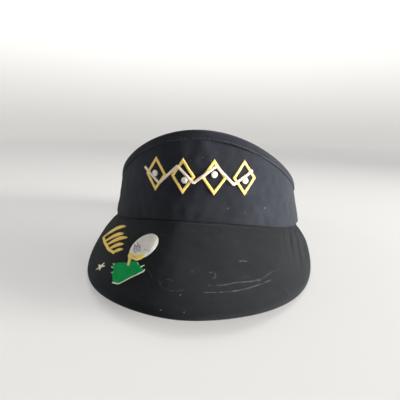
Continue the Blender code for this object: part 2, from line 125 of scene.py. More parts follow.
def swell(u, v, size, seed):
    """A smooth random field of about -1 to 1 whose features are about this size."""
    rng = np.random.default_rng(seed)
    total = 0.0
    for _ in range(8):
        turn, wave, phase = rng.uniform(0, TAU), TAU / size * rng.uniform(0.6, 1.5), rng.uniform(0, TAU)
        total = total + np.sin(wave * (u * math.cos(turn) + v * math.sin(turn)) + phase)
    return total / 4


def ring(angle, inward=0.0):
    depth = np.where(np.cos(angle) > 0, RING_FRONT, RING_BACK)
    x, y = RING_A * np.sin(angle), -depth * np.cos(angle)
    across, ahead = x / RING_A**2, y / depth**2
    size = np.hypot(across, ahead)
    return x - across / size * inward, y - ahead / size * inward


def bill_top(x, y):
    return -BILL_SLOPE * (-y - RING_FRONT) - BILL_ARCH * np.abs(x / BILL_HALF) ** ARCH_POWER


def band_low(angle, inward=0.0):
    angle = np.abs(angle)
    seam = bill_top(*ring(np.minimum(angle, CORNER), inward))
    rear = 0.0003 - SEAM_Z
    return seam + (rear - seam) * ease((angle - CORNER) / (math.radians(138) - CORNER))


def front_top(angle):
    fall = 1 - np.cos(angle)
    return CROWN_HEIGHT - CROWN_FALL[0] * fall - CROWN_FALL[1] * fall * fall


def band_top(angle):
    angle = np.abs(angle)
    side, rear = math.radians(90), math.radians(142)
    part = np.clip((angle - side) / (rear - side), 0, 1)
    slope = (-CROWN_FALL[0] - 2 * CROWN_FALL[1]) * (rear - side)
    start, end = front_top(side), REAR_HEIGHT - SEAM_Z
    cube, square = part**3, part**2
    back = start * (2 * cube - 3 * square + 1) + slope * (cube - 2 * square + part)
    return np.where(angle <= side, front_top(angle), back + end * (3 * square - 2 * cube))


def stack(x, y, z):
    x, y, z = np.broadcast_arrays(x, y, z)
    return np.stack([x, y + RING_Y, z + SEAM_Z], -1)


def band(angle, z, inward=0.0):
    low, top = band_low(angle), band_top(angle)
    upright = 1 - ease((np.abs(angle) - math.radians(85)) / math.radians(50))
    share = (z - low) / (top - low)
    lean = CROWN_LEAN * (z - low) * upright
    x, y = ring(angle, inward)
    x = x * (1 - (0.35 * lean + CROWN_NARROW * share * upright) / RING_A)
    return stack(x, y * (1 - lean / RING_FRONT), z)


def crown_relief(angle, z):
    """How far the crown's cloth stands out from its plain surface."""
    low, top = band_low(angle), band_top(angle)
    u, share = angle * ARC_R, (z - low) / (top - low)
    front = 1 - ease((np.abs(angle) - math.radians(62)) / math.radians(22))
    puff = 0.9 * MM * bell(z - low, 8 * MM, 7 * MM) * front
    folds = 0.55 * MM * np.sin(u / (3.6 * MM) + 0.6 * np.sin(z / (9 * MM)))
    folds = folds * bell(u, MM, 16 * MM) * ease((share - 0.62) / 0.22)
    tugs = 0.22 * MM * np.sin(u / (1.9 * MM)) * np.exp(-((z - low) / (5 * MM))) * front
    broad = 0.55 * MM * swell(u, z, 46 * MM, 3) + 0.16 * MM * swell(u, z, 13 * MM, 4)
    return puff + folds + tugs + broad * (0.35 + 0.65 * front)


def bill_relief(x, y):
    """How far the bill's cloth stands up from its plain surface."""
    broad = 0.35 * MM * swell(x, y, 55 * MM, 7) + 0.07 * MM * swell(x, y, 12 * MM, 8)
    corner = np.exp(-(((np.abs(x) - 79 * MM) / (11 * MM)) ** 2) - ((y + 74 * MM) / (25 * MM)) ** 2)
    strength = np.where(x > 0, 0.34 * MM, 0.10 * MM)
    wave = (np.abs(x) + 3 * (y + 65 * MM) ** 2 + 0.5 * MM * np.sin(y / (7 * MM))) / (1.03 * MM)
    creases = strength * corner * (np.sin(wave) + 0.45 * np.sin(2 * wave + 0.9))
    return broad + creases


def bill_normal(x):
    slope = -BILL_ARCH * ARCH_POWER / BILL_HALF * np.abs(x / BILL_HALF) ** (ARCH_POWER - 1) * np.sign(x)
    return unit(np.stack([-slope, -BILL_SLOPE + 0 * slope, 1 + 0 * slope], -1))


def on_bill(x, y, lift):
    """Points over the bill's cloth, and its normals there."""
    normal = bill_normal(x)
    base = stack(x, y, bill_top(x, y) + bill_relief(x, y))
    return base + normal * np.asarray(lift)[..., None], normal


def on_crown(u, v, lift):
    """Points over the front's cloth, u along the band and v above the seam, and its normals."""
    angle = u / ARC_R
    inward = -crown_relief(angle, v) - np.asarray(lift)
    base = band(angle, v, inward)
    return base, unit(base - band(angle, v, inward + MM))


def on_rear(u, v, lift):
    """u runs along the back of the ring, 0 at its middle and positive towards +X."""
    x, y = ring(math.pi - np.asarray(u) / RING_BACK, -np.asarray(lift))
    return stack(x, y, np.asarray(v) - SEAM_Z)


# --- materials ---
class Look:
    """A Principled material with a few helpers for building its nodes."""

    def __init__(self, name, roughness, **sockets):
        self.material = bpy.data.materials.new(name)
        self.material.use_nodes = True
        self.tree = self.material.node_tree
        self.shader = self.tree.nodes["Principled BSDF"]
        self.shader.inputs["Roughness"].default_value = roughness
        for key, value in sockets.items():
            self.shader.inputs[key.replace("_", " ")].default_value = value

    def feed(self, value, socket):
        """Links a socket, or sets a plain value."""
        if isinstance(value, bpy.types.NodeSocket):
            self.tree.links.new(value, socket)
        else:
            socket.default_value = value

    def node(self, kind, inputs=(), **settings):
        made = self.tree.nodes.new("ShaderNode" + kind)
        for key, value in settings.items():
            setattr(made, key, value)
        for key, value in dict(inputs).items():
            self.feed(value, made.inputs[key])
        return made

    def math(self, operation, one, two=0.0, clamp=False):
        return self.node("Math", {0: one, 1: two}, operation=operation, use_clamp=clamp).outputs[0]

    def plus(self, one, two, *more):
        total = self.math("ADD", one, two)
        return self.plus(total, *more) if more else total

    def times(self, one, two, *more):
        total = self.math("MULTIPLY", one, two)
        return self.times(total, *more) if more else total

    def minus(self, one, two):
        return self.math("SUBTRACT", one, two)

    def wave(self, value, pitch):
        return self.math("SINE", self.times(value, TAU / pitch))

    def split(self, vector):
        return list(self.node("SeparateXYZ", {0: vector}).outputs)

    def attribute(self, name, output="Vector"):
        return self.node("Attribute", attribute_name=name).outputs[output]

    def place(self):
        return self.node("TexCoord").outputs["Object"]

    def noise(self, vector, scale, detail=3.0, rough=0.55):
        inputs = {"Vector": vector, "Scale": scale, "Detail": detail, "Roughness": rough}
        return self.node("TexNoise", inputs).outputs["Fac"]

    def band_of(self, value, low, high):
        """0 below low, 1 above high, smooth between."""
        inputs = {"Value": value, "From Min": low, "From Max": high}
        return self.node("MapRange", inputs, interpolation_type="SMOOTHSTEP").outputs["Result"]

    def mix(self, share, *colors):
        one, two = ((*c, 1.0) if isinstance(c, tuple) else c for c in colors)
        return self.node("Mix", {0: share, 6: one, 7: two}, data_type="RGBA").outputs[2]

    def color(self, socket):
        self.feed(socket, self.shader.inputs["Base Color"])

    def rough(self, socket):
        self.feed(socket, self.shader.inputs["Roughness"])

    def bump(self, height, strength, distance, under=None):
        inputs = {"Height": height, "Strength": strength, "Distance": distance}
        if under is not None:
            inputs["Normal"] = under
        made = self.node("Bump", inputs).outputs["Normal"]
        self.feed(made, self.shader.inputs["Normal"])
        return made


def scaled(color, factor):
    return tuple(factor * c for c in color)


def twill_height(look):
    """Diagonal wales crossed by finer yarns, from the cloth's own coordinates."""
    x, y, z = look.split(look.attribute("cloth"))
    wobble = look.noise(look.place(), 260.0, 2.0)
    slant = look.plus(x, z, look.times(y, 0.8), look.times(wobble, 0.35 * MM))
    wale, yarn = look.wave(slant, TWILL_PITCH), look.wave(y, YARN_PITCH)
    return look.plus(look.times(wale, 0.7), look.times(yarn, 0.3))


def twill_look(name, dark, light, sheen=0.1, shine=0.22, scuffs=False):
    look = Look(name, 0.86, Sheen_Weight=sheen, Sheen_Roughness=0.38, Sheen_Tint=(0.86, 0.92, 1.0, 1.0),
                Specular_IOR_Level=shine)
    height, place = twill_height(look), look.place()
    broad, fine = look.noise(place, 34.0, 4.0), look.noise(place, 260.0, 3.0, 0.65)
    patches = look.band_of(look.plus(look.times(broad, 0.6), look.times(fine, 0.4)), 0.40, 0.62)
    color = look.mix(patches, dark, light)
    specks = lint(look, place, LINT_BARE_BILL if scuffs else LINT_BARE)
    color = look.mix(look.times(specks, 0.9), color, LINT_COLOR)
    # Painted highlight: the raised tops of the wales and yarns are painted lighter, towards 1.9 times the
    # light colour.
    wales = look.band_of(height, -0.9, 0.9)
    color = look.mix(look.times(wales, 0.35), color, scaled(light, 1.9))
    if scuffs:
        marks = look.math("MULTIPLY", scuff_marks(look), 0.70, clamp=True)
        color = look.mix(marks, color, SCUFF_COLOR)
    look.color(color)
    look.rough(look.minus(0.93, look.times(look.noise(place, 60.0, 3.0), 0.14)))
    fuzz = look.bump(look.noise(place, 2600.0, 2.0), 0.25, 0.12 * MM)
    look.bump(height, 0.75, 0.18 * MM, fuzz)
    return look.material


def lint(look, place, bare):
    """Frayed specks, at most one in each cell. bare is the share of cells that have none."""
    cells = look.node("TexVoronoi", {"Vector": place, "Scale": LINT_CELLS}).outputs
    size, chance, _ = look.node("SeparateColor", {0: cells["Color"]}).outputs
    speck = look.math("LESS_THAN", cells["Distance"], look.times(size, LINT_SIZE))
    frayed = look.band_of(look.noise(place, 1500.0, 2.0, 0.6), 0.36, 0.52)
    return look.times(speck, look.times(frayed, look.math("GREATER_THAN", chance, bare)))


def scuff_marks(look):
    """Faint rub marks on the bill: thin arcs, each through three points of the plan."""
    x, y, _ = look.split(look.place())
    warp = look.times(look.minus(look.noise(look.place(), 90.0, 2.0), 0.5), 0.8 * MM)
    grain = look.band_of(look.noise(look.place(), 620.0, 3.0, 0.7), 0.36, 0.56)
    gaps = look.band_of(look.noise(look.place(), 150.0, 2.0), 0.28, 0.50)
    total = None
    for one, two, three, strength in SCUFFS:
        middle, radius, toward, half = arc_through(*(np.array(p) * MM for p in (one, two, three)))
        across, ahead = look.minus(x, float(middle[0])), look.minus(y, float(middle[1]) + RING_Y)
        a, b = float(toward[0]), float(toward[1])
        near = look.plus(look.times(across, a), look.times(ahead, b))
        side = look.minus(look.times(ahead, a), look.times(across, b))
        far = look.math("SQRT", look.plus(look.times(near, near), look.times(side, side)))
        off = look.math("ABSOLUTE", look.plus(look.minus(far, radius), warp))
        line = look.minus(strength, look.times(look.band_of(off, 0.08 * MM, 0.48 * MM), strength))
        turn = look.math("ABSOLUTE", look.math("ARCTAN2", side, near))
        mark = look.times(line, look.minus(1.0, look.band_of(turn, half * 0.8, half * 1.05)))
        total = mark if total is None else look.math("MAXIMUM", total, mark)
    return look.times(total, grain, gaps)


def arc_through(one, two, three):
    """Centre, radius, direction of the middle, and half the angle of the arc through three points."""
    rows = np.array([two - one, three - one])
    middle = one + np.linalg.solve(2 * rows, (rows**2).sum(1))
    radius = float(np.linalg.norm(two - middle))
    ends = (one - middle) / radius, (three - middle) / radius
    toward = (two - middle) / radius
    half = max(math.acos(float(np.clip(end @ toward, -1, 1))) for end in ends)
    return middle, radius, toward, half


LINT_CELLS, LINT_SIZE = 210.0, 0.125
LINT_BARE, LINT_BARE_BILL = 0.76, 0.52
LINT_COLOR, SCUFF_COLOR = (0.17, 0.17, 0.18), (0.19, 0.20, 0.20)
# Rub marks: three points of each arc in millimetres of the bill's plan, and how strong it is.
SCUFFS = [
    ((11.2, -159.5), (27.9, -154.5), (38.8, -147.6), 1.0),
    ((38.8, -147.6), (46.0, -141.0), (54.8, -132.1), 0.6),
    ((16.7, -153.1), (22.8, -151.2), (31.1, -146.4), 0.7),
    ((31.1, -146.4), (39.8, -141.8), (48.2, -134.8), 0.7),
    ((48.2, -134.8), (52.3, -129.0), (61.5, -118.2), 0.4),
    ((-14.2, -156.0), (-12.5, -152.8), (-7.1, -154.1), 0.3),
    ((-14.2, -156.0), (-10.0, -159.6), (1.3, -158.5), 0.3),
    ((13.6, -143.4), (17.6, -143.7), (17.4, -146.7), 0.7),
    ((-26.2, -142.8), (-23.3, -146.8), (-20.9, -150.4), 0.3),
    ((32.6, -128.3), (35.4, -126.2), (38.3, -125.9), 1.2),
    ((62.3, -135.0), (64.8, -136.2), (67.1, -137.0), 0.4),
    ((28.3, -107.2), (30.6, -109.6), (32.0, -112.5), 0.4),
]


def thread_look(name, dark, light, roughness, sheen, warm=None, shine=0.5):
    look = Look(name, roughness, Sheen_Weight=sheen, Sheen_Roughness=0.35, Specular_IOR_Level=shine)
    tone, place = look.attribute("tone", "Fac"), look.place()
    color = look.mix(tone, dark, light)
    if warm:
        color = look.mix(look.band_of(tone, 0.93, 1.0), color, warm)
    soil = look.band_of(look.noise(place, 150.0, 3.0), 0.35, 0.75)
    look.color(look.mix(look.times(soil, 0.22), color, scaled(dark, 0.55)))
    look.bump(look.noise(place, 4200.0, 2.0), 0.35, 0.08 * MM)
    return look.material


def terry_look():
    look = Look("terry", 0.95, Sheen_Weight=0.55, Sheen_Roughness=0.55, Specular_IOR_Level=0.15)
    place = look.place()
    cells = look.node("TexVoronoi", {"Vector": place, "Scale": 1150.0}, feature="SMOOTH_F1")
    loops = cells.outputs["Distance"]
    blotch = look.band_of(look.noise(place, 45.0, 4.0), 0.35, 0.7)
    color = look.mix(blotch, (0.036, 0.038, 0.044), (0.070, 0.072, 0.080))
    # Painted shade: the gaps between the terry loops, where the bump sinks, are painted darker.
    look.color(look.mix(look.band_of(loops, 0.15, 0.75), color, (0.018, 0.018, 0.022)))
    first = look.bump(look.noise(place, 2400.0, 3.0), 0.4, 0.25 * MM)
    look.bump(loops, -0.9, 0.5 * MM, first)
    return look.material


def buckram_look():
    look = Look("buckram", 0.9, Specular_IOR_Level=0.2)
    x, _, z = look.split(look.place())
    weave = look.times(look.wave(z, 1.1 * MM), look.wave(x, 1.1 * MM))
    look.color(look.mix(look.band_of(weave, -1, 1), (0.58, 0.55, 0.47), (0.78, 0.75, 0.68)))
    look.bump(weave, 0.6, 0.2 * MM)
    return look.material


def board_look():
    look = Look("bill_board", 0.65)
    fibres = look.noise(look.place(), 420.0, 5.0, 0.7)
    look.color(look.mix(fibres, (0.40, 0.37, 0.31), (0.62, 0.59, 0.52)))
    look.bump(fibres, 0.3, 0.1 * MM)
    return look.material


def plastic_look():
    look = Look("snap_plastic", 0.38, Specular_IOR_Level=0.5)
    place = look.place()
    cloud = look.band_of(look.noise(place, 90.0, 4.0), 0.3, 0.7)
    look.color(look.mix(cloud, (0.010, 0.010, 0.011), (0.019, 0.019, 0.021)))
    drawn = look.node("Mapping", {"Vector": place, "Scale": (60.0, 60.0, 900.0)}).outputs["Vector"]
    fine = look.noise(drawn, 6.0, 4.0, 0.7)
    look.rough(look.plus(0.30, look.times(fine, 0.28)))
    first = look.bump(look.noise(place, 1500.0, 2.0), 0.16, 0.05 * MM)
    look.bump(fine, 0.12, 0.05 * MM, first)
    return look.material


def floor_look():
    """Pale and matt, with painted light: its colour is lighter up the wall, and it glows faintly, more so up
    the wall.
    """
    look = Look("pale_floor", 0.9, Specular_IOR_Level=0.1, Emission_Color=(1.0, 0.985, 0.965, 1.0))
    place = look.place()
    # Painted light: rise lightens the colour and strengthens the glow up the wall.
    rise = look.band_of(look.split(place)[2], -0.4, 2.0)
    pale = look.mix(rise, (0.60, 0.588, 0.57), (0.90, 0.89, 0.87))
    look.color(look.mix(look.times(look.noise(place, 2.0, 2.0), 0.06), pale, (0.6, 0.6, 0.6)))
    look.feed(look.plus(look.times(rise, 0.34), 0.22), look.shader.inputs["Emission Strength"])
    return look.material


# --- mesh making ---
def link(name, data):
    made = bpy.data.objects.new(name, data)
    bpy.context.scene.collection.objects.link(made)
    return made


def attach(obj, body):
    """Rides one body where body is a name; where body is (first, second, start, end), its transform is only
    baked and it rides no body.
    """
    if isinstance(body, str):
        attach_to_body(obj, body)
    else:
        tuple(body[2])
        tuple(body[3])
        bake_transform(obj)


def make_piece(name, points, faces, look, replaced=(), cloth=None, tone=None, body="root"):
    """Links one piece, shaded smooth, with its cloth coordinates and thread tones as attributes.

    With body=None the piece is left for the caller to attach, once its mesh is finished.
    """
    mesh = bpy.data.meshes.new(name)
    mesh.from_pydata(np.asarray(points).tolist(), [], faces)
    mesh.validate()
    for title, kind, field, values in (("cloth", "FLOAT_VECTOR", "vector", cloth),
                                       ("tone", "FLOAT", "value", tone)):
        if values is not None:
            attribute = mesh.attributes.new(title, kind, "POINT")
            attribute.data.foreach_set(field, np.asarray(values, np.float32).ravel())
    mesh.polygons.foreach_set("use_smooth", np.ones(len(mesh.polygons), bool))
    mesh.update()
    obj = link(name, mesh)
    mesh.materials.append(look)
    if body:
        attach(obj, body)
    if replaced:
        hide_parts(*replaced)
    return obj


def grid_normals(points):
    return unit(np.cross(np.gradient(points, axis=0), np.gradient(points, axis=1)))


def border(grid):
    return [*grid[:, 0], *grid[-1, 1:], *grid[-2::-1, -1], *grid[0, -2:0:-1]]


def sheet_faces(columns, rows):
    """Faces of a closed thin sheet: an outer grid, an inner grid, and the four edges between them."""
    outer = np.arange(columns * rows).reshape(columns, rows)
    inner = outer + columns * rows
    faces = []
    for grid, order in ((outer, 1), (inner, -1)):
        corners = [grid[:-1, :-1], grid[1:, :-1], grid[1:, 1:], grid[:-1, 1:]]
        faces += np.stack(corners[::order], -1).reshape(-1, 4).tolist()
    edge, twin = border(outer), border(inner)
    return faces + np.stack([np.roll(edge, -1), edge, twin, np.roll(twin, -1)], -1).tolist()


def cloth_sheet(name, outer, thickness, cloth, look, replaced):
    """A closed sheet of cloth behind the outer grid of points. cloth is its (u, v) grid in metres."""
    inner = outer - grid_normals(outer) * thickness
    points = np.concatenate([outer.reshape(-1, 3), inner.reshape(-1, 3)])
    u, v = (part.reshape(-1, 1) for part in cloth)
    flat = np.hstack([u, v, 0 * u])
    return make_piece(name, points, sheet_faces(*outer.shape[:2]), look, replaced,
                      cloth=np.concatenate([flat, flat]))


def thread_tubes(paths, ups, radius):
    """Closed tubes along many paths at once. paths and ups are (threads, points, 3)."""
    threads, count = paths.shape[:2]
    sides = THREAD_SIDES
    along = unit(np.gradient(paths, axis=1))
    side = unit(np.cross(along, ups))
    up = np.cross(side, along)
    share = np.linspace(-1, 1, count)
    width = radius * np.sqrt(np.maximum(1 - np.abs(share) ** 6, 0.04))
    turn = (np.arange(sides) * TAU / sides)[:, None]
    rings = side[:, :, None] * np.cos(turn) + up[:, :, None] * np.sin(turn)
    points = paths[:, :, None] + rings * width[None, :, None, None]
    first = np.arange(threads)[:, None, None] * count * sides
    row = np.arange(count - 1)[None, :, None] * sides
    one, two = np.arange(sides), (np.arange(sides) + 1) % sides
    low, high = first + row, first + row + sides
    quads = np.stack([low + one, low + two, high + two, high + one], -1).reshape(-1, 4).tolist()
    starts = (first[:, 0] + one[::-1]).tolist()
    ends = (first[:, 0] + (count - 1) * sides + one).tolist()
    return points.reshape(-1, 3), quads + starts + ends, count * sides


def stitched(name, threads, spot, look, replaced, radius=0.2 * MM, seed=1):
    """A motif of threads. threads rows are (x1, y1, x2, y2, base lift, arch height, tone)."""
    threads = np.asarray(threads, float)
    rng = np.random.default_rng(seed)
    share = np.linspace(0, 1, THREAD_POINTS)
    span = np.abs(2 * share - 1)[None]
    start, end = threads[:, None, 0:2], threads[:, None, 2:4]
    flat = start + (end - start) * share[None, :, None]
    arch = np.sqrt(np.maximum(1 - (2 * share - 1) ** 4, 0))
    lift = threads[:, 4:5] + threads[:, 5:6] * arch[None] - 0.35 * MM * (span**12)
    lift = lift + rng.normal(0, 0.02 * MM, (len(threads), 1))
    points, normals = spot(flat[..., 0], flat[..., 1], lift)
    verts, faces, each = thread_tubes(points, normals, radius)
    tone = np.repeat(np.clip(threads[:, 6] + rng.normal(0, 0.10, len(threads)), 0, 1), each)
    return make_piece(name, verts, faces, look, replaced, tone=tone)


def line_length(points):
    return np.concatenate([[0], np.cumsum(np.linalg.norm(np.diff(points, axis=0), axis=1))])


def spread_along(points, count):
    """count points evenly along an open line."""
    points = np.asarray(points, float)
    lengths = line_length(points)
    at = np.linspace(0, lengths[-1], count)
    return np.stack([np.interp(at, lengths, points[:, k]) for k in range(points.shape[1])], -1)


def satin(left, right, pitch=THREAD_PITCH, base=0.05 * MM, arch=0.35 * MM, tone=0.55, slant=0.0, seed=5):
    """Threads across a column between two rails, side by side."""
    rng = np.random.default_rng(seed)
    reach = max(line_length(np.asarray(rail, float))[-1] for rail in (left, right))
    count = max(3, int(reach / pitch))
    one, two = spread_along(left, count), spread_along(right, count)
    if slant:
        shift = min(count - 2, max(1, int(slant / pitch)))
        one, two = one[shift:], two[:-shift]
    across = two - one
    long = length(across)
    keep = long[:, 0] > 0.35 * MM
    one, two, across, long = one[keep], two[keep], across[keep], long[keep]
    away, column = across / long, (len(one), 1)
    one = one - away * rng.uniform(0, 1, column) * SATIN_JITTER
    two = two + away * rng.uniform(0, 1, column) * SATIN_JITTER
    high = arch * np.clip(long / (2.2 * MM), 0.35, 1.0)
    tones = np.full(column, tone) + rng.uniform(-0.15, 0.15, column)
    return np.hstack([one, two, np.full(column, base), high, tones])


def crossings(loop, turn, offset):
    """Where a line at this angle and offset crosses a closed outline, as distances along the line."""
    along, off = np.array([math.cos(turn), math.sin(turn)]), np.array([-math.sin(turn), math.cos(turn)])
    found = []
    for one, two in zip(loop, np.roll(loop, -1, axis=0)):
        a, b = one @ off - offset, two @ off - offset
        if (a > 0) != (b > 0):
            found.append((one + (two - one) * (a / (a - b))) @ along)
    return sorted(found), along, off


def filled(loop, turn, pitch=THREAD_PITCH, stitch=3.6 * MM, base=0.05 * MM, arch=0.12 * MM, tone=0.5,
           seed=9, dome=None, ragged=0.2 * MM, underlay=True):
    """Rows of short stitches that fill an outline, laid like bricks over a layer of crossing threads."""
    rng = np.random.default_rng(seed)
    loop = np.asarray(loop, float)
    off = loop @ np.array([-math.sin(turn), math.cos(turn)])
    shortest = 0.6 * MM
    rows = []
    if underlay:
        # The crossing layer below gets a tone 0.2 darker: painted shade under the top stitches.
        below = filled(loop, turn + math.pi / 2, 0.38 * MM, 1.6 * MM, base - 0.16 * MM, 0.10 * MM,
                       tone - 0.2, seed + 1, dome, 0, False)
        rows += below[length(below[:, 0:2] - below[:, 2:4])[:, 0] > 0.8 * MM].tolist()
    for i, offset in enumerate(np.arange(off.min() + pitch / 2, off.max(), pitch)):
        cuts, along, side = crossings(loop, turn, offset)
        for start, end in zip(cuts[::2], cuts[1::2]):
            start, end = start - rng.uniform(0, ragged), end + rng.uniform(0, ragged)
            marks = np.arange(start + stitch * ((i * 0.37) % 1), end, stitch)
            marks = marks[(marks > start + shortest) & (marks < end - shortest)]
            marks = np.concatenate([[start], marks, [end]])
            for one, two in zip(marks, marks[1:]):
                a, b = along * one + side * offset, along * two + side * offset
                lift = base if dome is None else base + dome(*((a + b) / 2))
                rows.append([*a, *b, lift, arch, tone + rng.uniform(-0.15, 0.15)])
    return np.array(rows)


# --- flat outlines ---
def ribbon_rails(points, width):
    """The two mitred sides of a band along an open line."""
    points = [np.asarray(p, float) for p in points]
    left, right = [], []
    for i, point in enumerate(points):
        sides = []
        if i:
            sides.append(points[i] - points[i - 1])
        if i + 1 < len(points):
            sides.append(points[i + 1] - points[i])
        sides = [np.array([-d[1], d[0]]) / np.linalg.norm(d) for d in sides]
        side = sum(sides) / np.linalg.norm(sum(sides))
        reach = width / 2 / (side @ sides[0])
        left.append(point + side * reach)
        right.append(point - side * reach)
    return np.array(left), np.array(right)


def ellipse(x, y, radius, stretch=1.0, turn=0.0, count=48):
    angle = np.arange(count) * TAU / count
    u, v = radius * np.cos(angle), radius * stretch * np.sin(angle)
    cos, sin = math.cos(turn), math.sin(turn)
    return np.stack([x + u * cos - v * sin, y + u * sin + v * cos], -1)


# --- band ---
def band_angles(count, inset=0.0):
    return np.linspace(-BAND_END + inset, BAND_END - inset, count)[:, None]


def crown_cloth(look):
    """The band's outer cloth: its lower edge is turned under, and its top edge is under the hem."""
    angle = band_angles(301)
    rows, turned, radius = 46, 8, 0.9 * MM
    fold = np.linspace(math.pi, 0, turned + 1)[None, :-1]
    inward = np.concatenate([radius - radius * np.cos(fold), np.zeros((1, rows))], 1)
    rise = np.concatenate([radius - radius * np.sin(fold), np.zeros((1, rows))], 1)
    low, top = band_low(angle, inward) + 0.45 * MM, band_top(angle) - 0.9 * MM
    climb = np.linspace(0, 1, rows)[None, :] ** 1.12
    z = low + rise
    z[:, turned:] = low[:, turned:] + radius + (top - low[:, turned:] - radius) * climb
    hem = 1 - ease((z - (band_top(angle) - 9 * MM)) / (5 * MM))
    relief = crown_relief(angle, z) * ease((z - band_low(angle)) / (3 * MM)) * hem
    outer = band(angle, z, inward - relief)
    cloth = (angle * ARC_R + 0 * z, z)
    sheet = cloth_sheet("crown_cloth", outer, 0.6 * MM, cloth, look, ["crown_shell"])


def hem_profile():
    """(inward, height over the top edge) of the hem's outer face, from its front leg to its back leg."""
    front = [(-0.20, -6.7), (-0.62, -6.55), (-0.78, -6.2), (-0.42, -5.55), (-0.80, -4.9), (-1.02, -3.8),
             (-1.05, -2.6), (-1.00, -1.5)]
    turn = np.linspace(math.pi, 0, 9)
    over = [(1.55 + 2.55 * math.cos(t), -1.2 + 1.5 * math.sin(t)) for t in turn]
    back = [(4.15, -2.4), (4.15, -3.8), (3.95, -5.0), (3.75, -5.6), (4.0, -6.2), (3.7, -6.5)]
    return np.array(front + over + back) * MM


def top_hem(look, thread):
    angle = band_angles(561)
    profile = hem_profile()
    inward, height = profile[None, :, 0], profile[None, :, 1]
    u = angle * ARC_R
    z = band_top(angle) + height
    pucker = 0.10 * MM * np.sin(u / (0.50 * MM)) + 0.16 * MM * swell(u, 0 * u, 9 * MM, 21)
    low_leg = ease((-height - 2.5 * MM) / (3 * MM))
    z = z + 0.22 * MM * swell(u, 0 * u, 17 * MM, 22) * low_leg
    outer = band(angle, z, inward - pucker * low_leg * np.where(inward < 1.5 * MM, 1, -1))
    lengths = line_length(profile)[None, :] + 0 * u
    cloth = (u + 0 * z, lengths)
    hem = cloth_sheet("top_hem", outer, 0.55 * MM, cloth, look, ["top_binding"])
    angle = band_angles(700, 0.01)[:, 0]
    z = band_top(angle) - HEM_SEAM
    line = band(angle, z, -0.60 * MM + 0 * angle)
    away = line - band(angle, z, 0.5 * MM + 0 * angle)
    running_stitches("hem_stitches", line, away, thread, ["binding_stitches"])


def running_stitches(name, line, away, look, replaced=()):
    """Lockstitches along a line of points on the cloth."""
    lengths = line_length(line)
    count = int(lengths[-1] / STITCH_PITCH)
    share = np.linspace(0, 1, THREAD_POINTS)
    at = (np.arange(count)[:, None] + 0.08 + 0.84 * share[None]) * lengths[-1] / count
    path, up = (np.stack([np.interp(at, lengths, part[:, k]) for k in range(3)], -1)
                for part in (line, away))
    up = unit(up)
    dip = (0.16 * MM - 0.45 * MM * np.abs(2 * share - 1) ** 6)[None, :, None]
    verts, faces, each = thread_tubes(path + up * dip, up, STITCH_R)
    tones = np.random.default_rng(31).uniform(0.2, 0.8, count)
    make_piece(name, verts, faces, look, replaced, tone=np.repeat(tones, each))


def inner_facing(look):
    angle = band_angles(201)
    share = np.linspace(0, 1, 22)[None, ::-1]
    low, top = band_low(angle, 3.2 * MM) + 0.8 * MM, band_top(angle) - 1.2 * MM
    z = low + (top - low) * share
    relief = 0.25 * MM * swell(angle * ARC_R, z, 24 * MM, 41)
    outer = band(angle, z, 3.15 * MM + relief * ease((share - 0.1) / 0.3) * ease((0.85 - share) / 0.2))
    cloth = (angle * ARC_R + 0 * z, z)
    facing = cloth_sheet("inner_facing", outer, 0.5 * MM, cloth, look, ["crown_lining"])


def puffed(grid, held, pressure, slack, farthest):
    """The grid of points after its cloth has filled out between the points that are held.

    It is worked out at ten times the size, where Blender's cloth is stiff enough to settle.
    """
    scale, frames, scene = 10.0, 20, bpy.context.scene
    index = np.arange(grid.shape[0] * grid.shape[1]).reshape(grid.shape[:2])
    faces = np.stack([index[:-1, 1:], index[1:, 1:], index[1:, :-1], index[:-1, :-1]], -1).reshape(-1, 4)
    mesh = bpy.data.meshes.new("patch")
    mesh.from_pydata((grid.reshape(-1, 3) * scale).tolist(), [], faces.tolist())
    patch = link("patch", mesh)
    patch.vertex_groups.new(name="held").add(index[held].tolist(), 1.0, "REPLACE")
    cloth = patch.modifiers.new("cloth", "CLOTH").settings
    cloth.vertex_group_mass = "held"
    cloth.quality, cloth.mass, cloth.air_damping = 6, 0.25, 2.0
    cloth.tension_stiffness = cloth.compression_stiffness = 18.0
    cloth.shear_stiffness, cloth.bending_stiffness = 8.0, 2.0
    cloth.shrink_min = -slack
    cloth.use_pressure, cloth.uniform_pressure_force = True, pressure
    cloth.effector_weights.gravity = 0.0
    for step in range(frames):
        scene.frame_set(step + 1)
    moved = patch.evaluated_get(bpy.context.evaluated_depsgraph_get()).to_mesh()
    points = np.empty(len(moved.vertices) * 3)
    moved.vertices.foreach_get("co", points)
    bpy.data.objects.remove(patch)
    bpy.data.meshes.remove(mesh)
    scene.frame_set(1)
    shift = points.reshape(grid.shape) / scale - grid
    return grid + shift * np.minimum(1, farthest / np.maximum(length(shift), 1e-9))


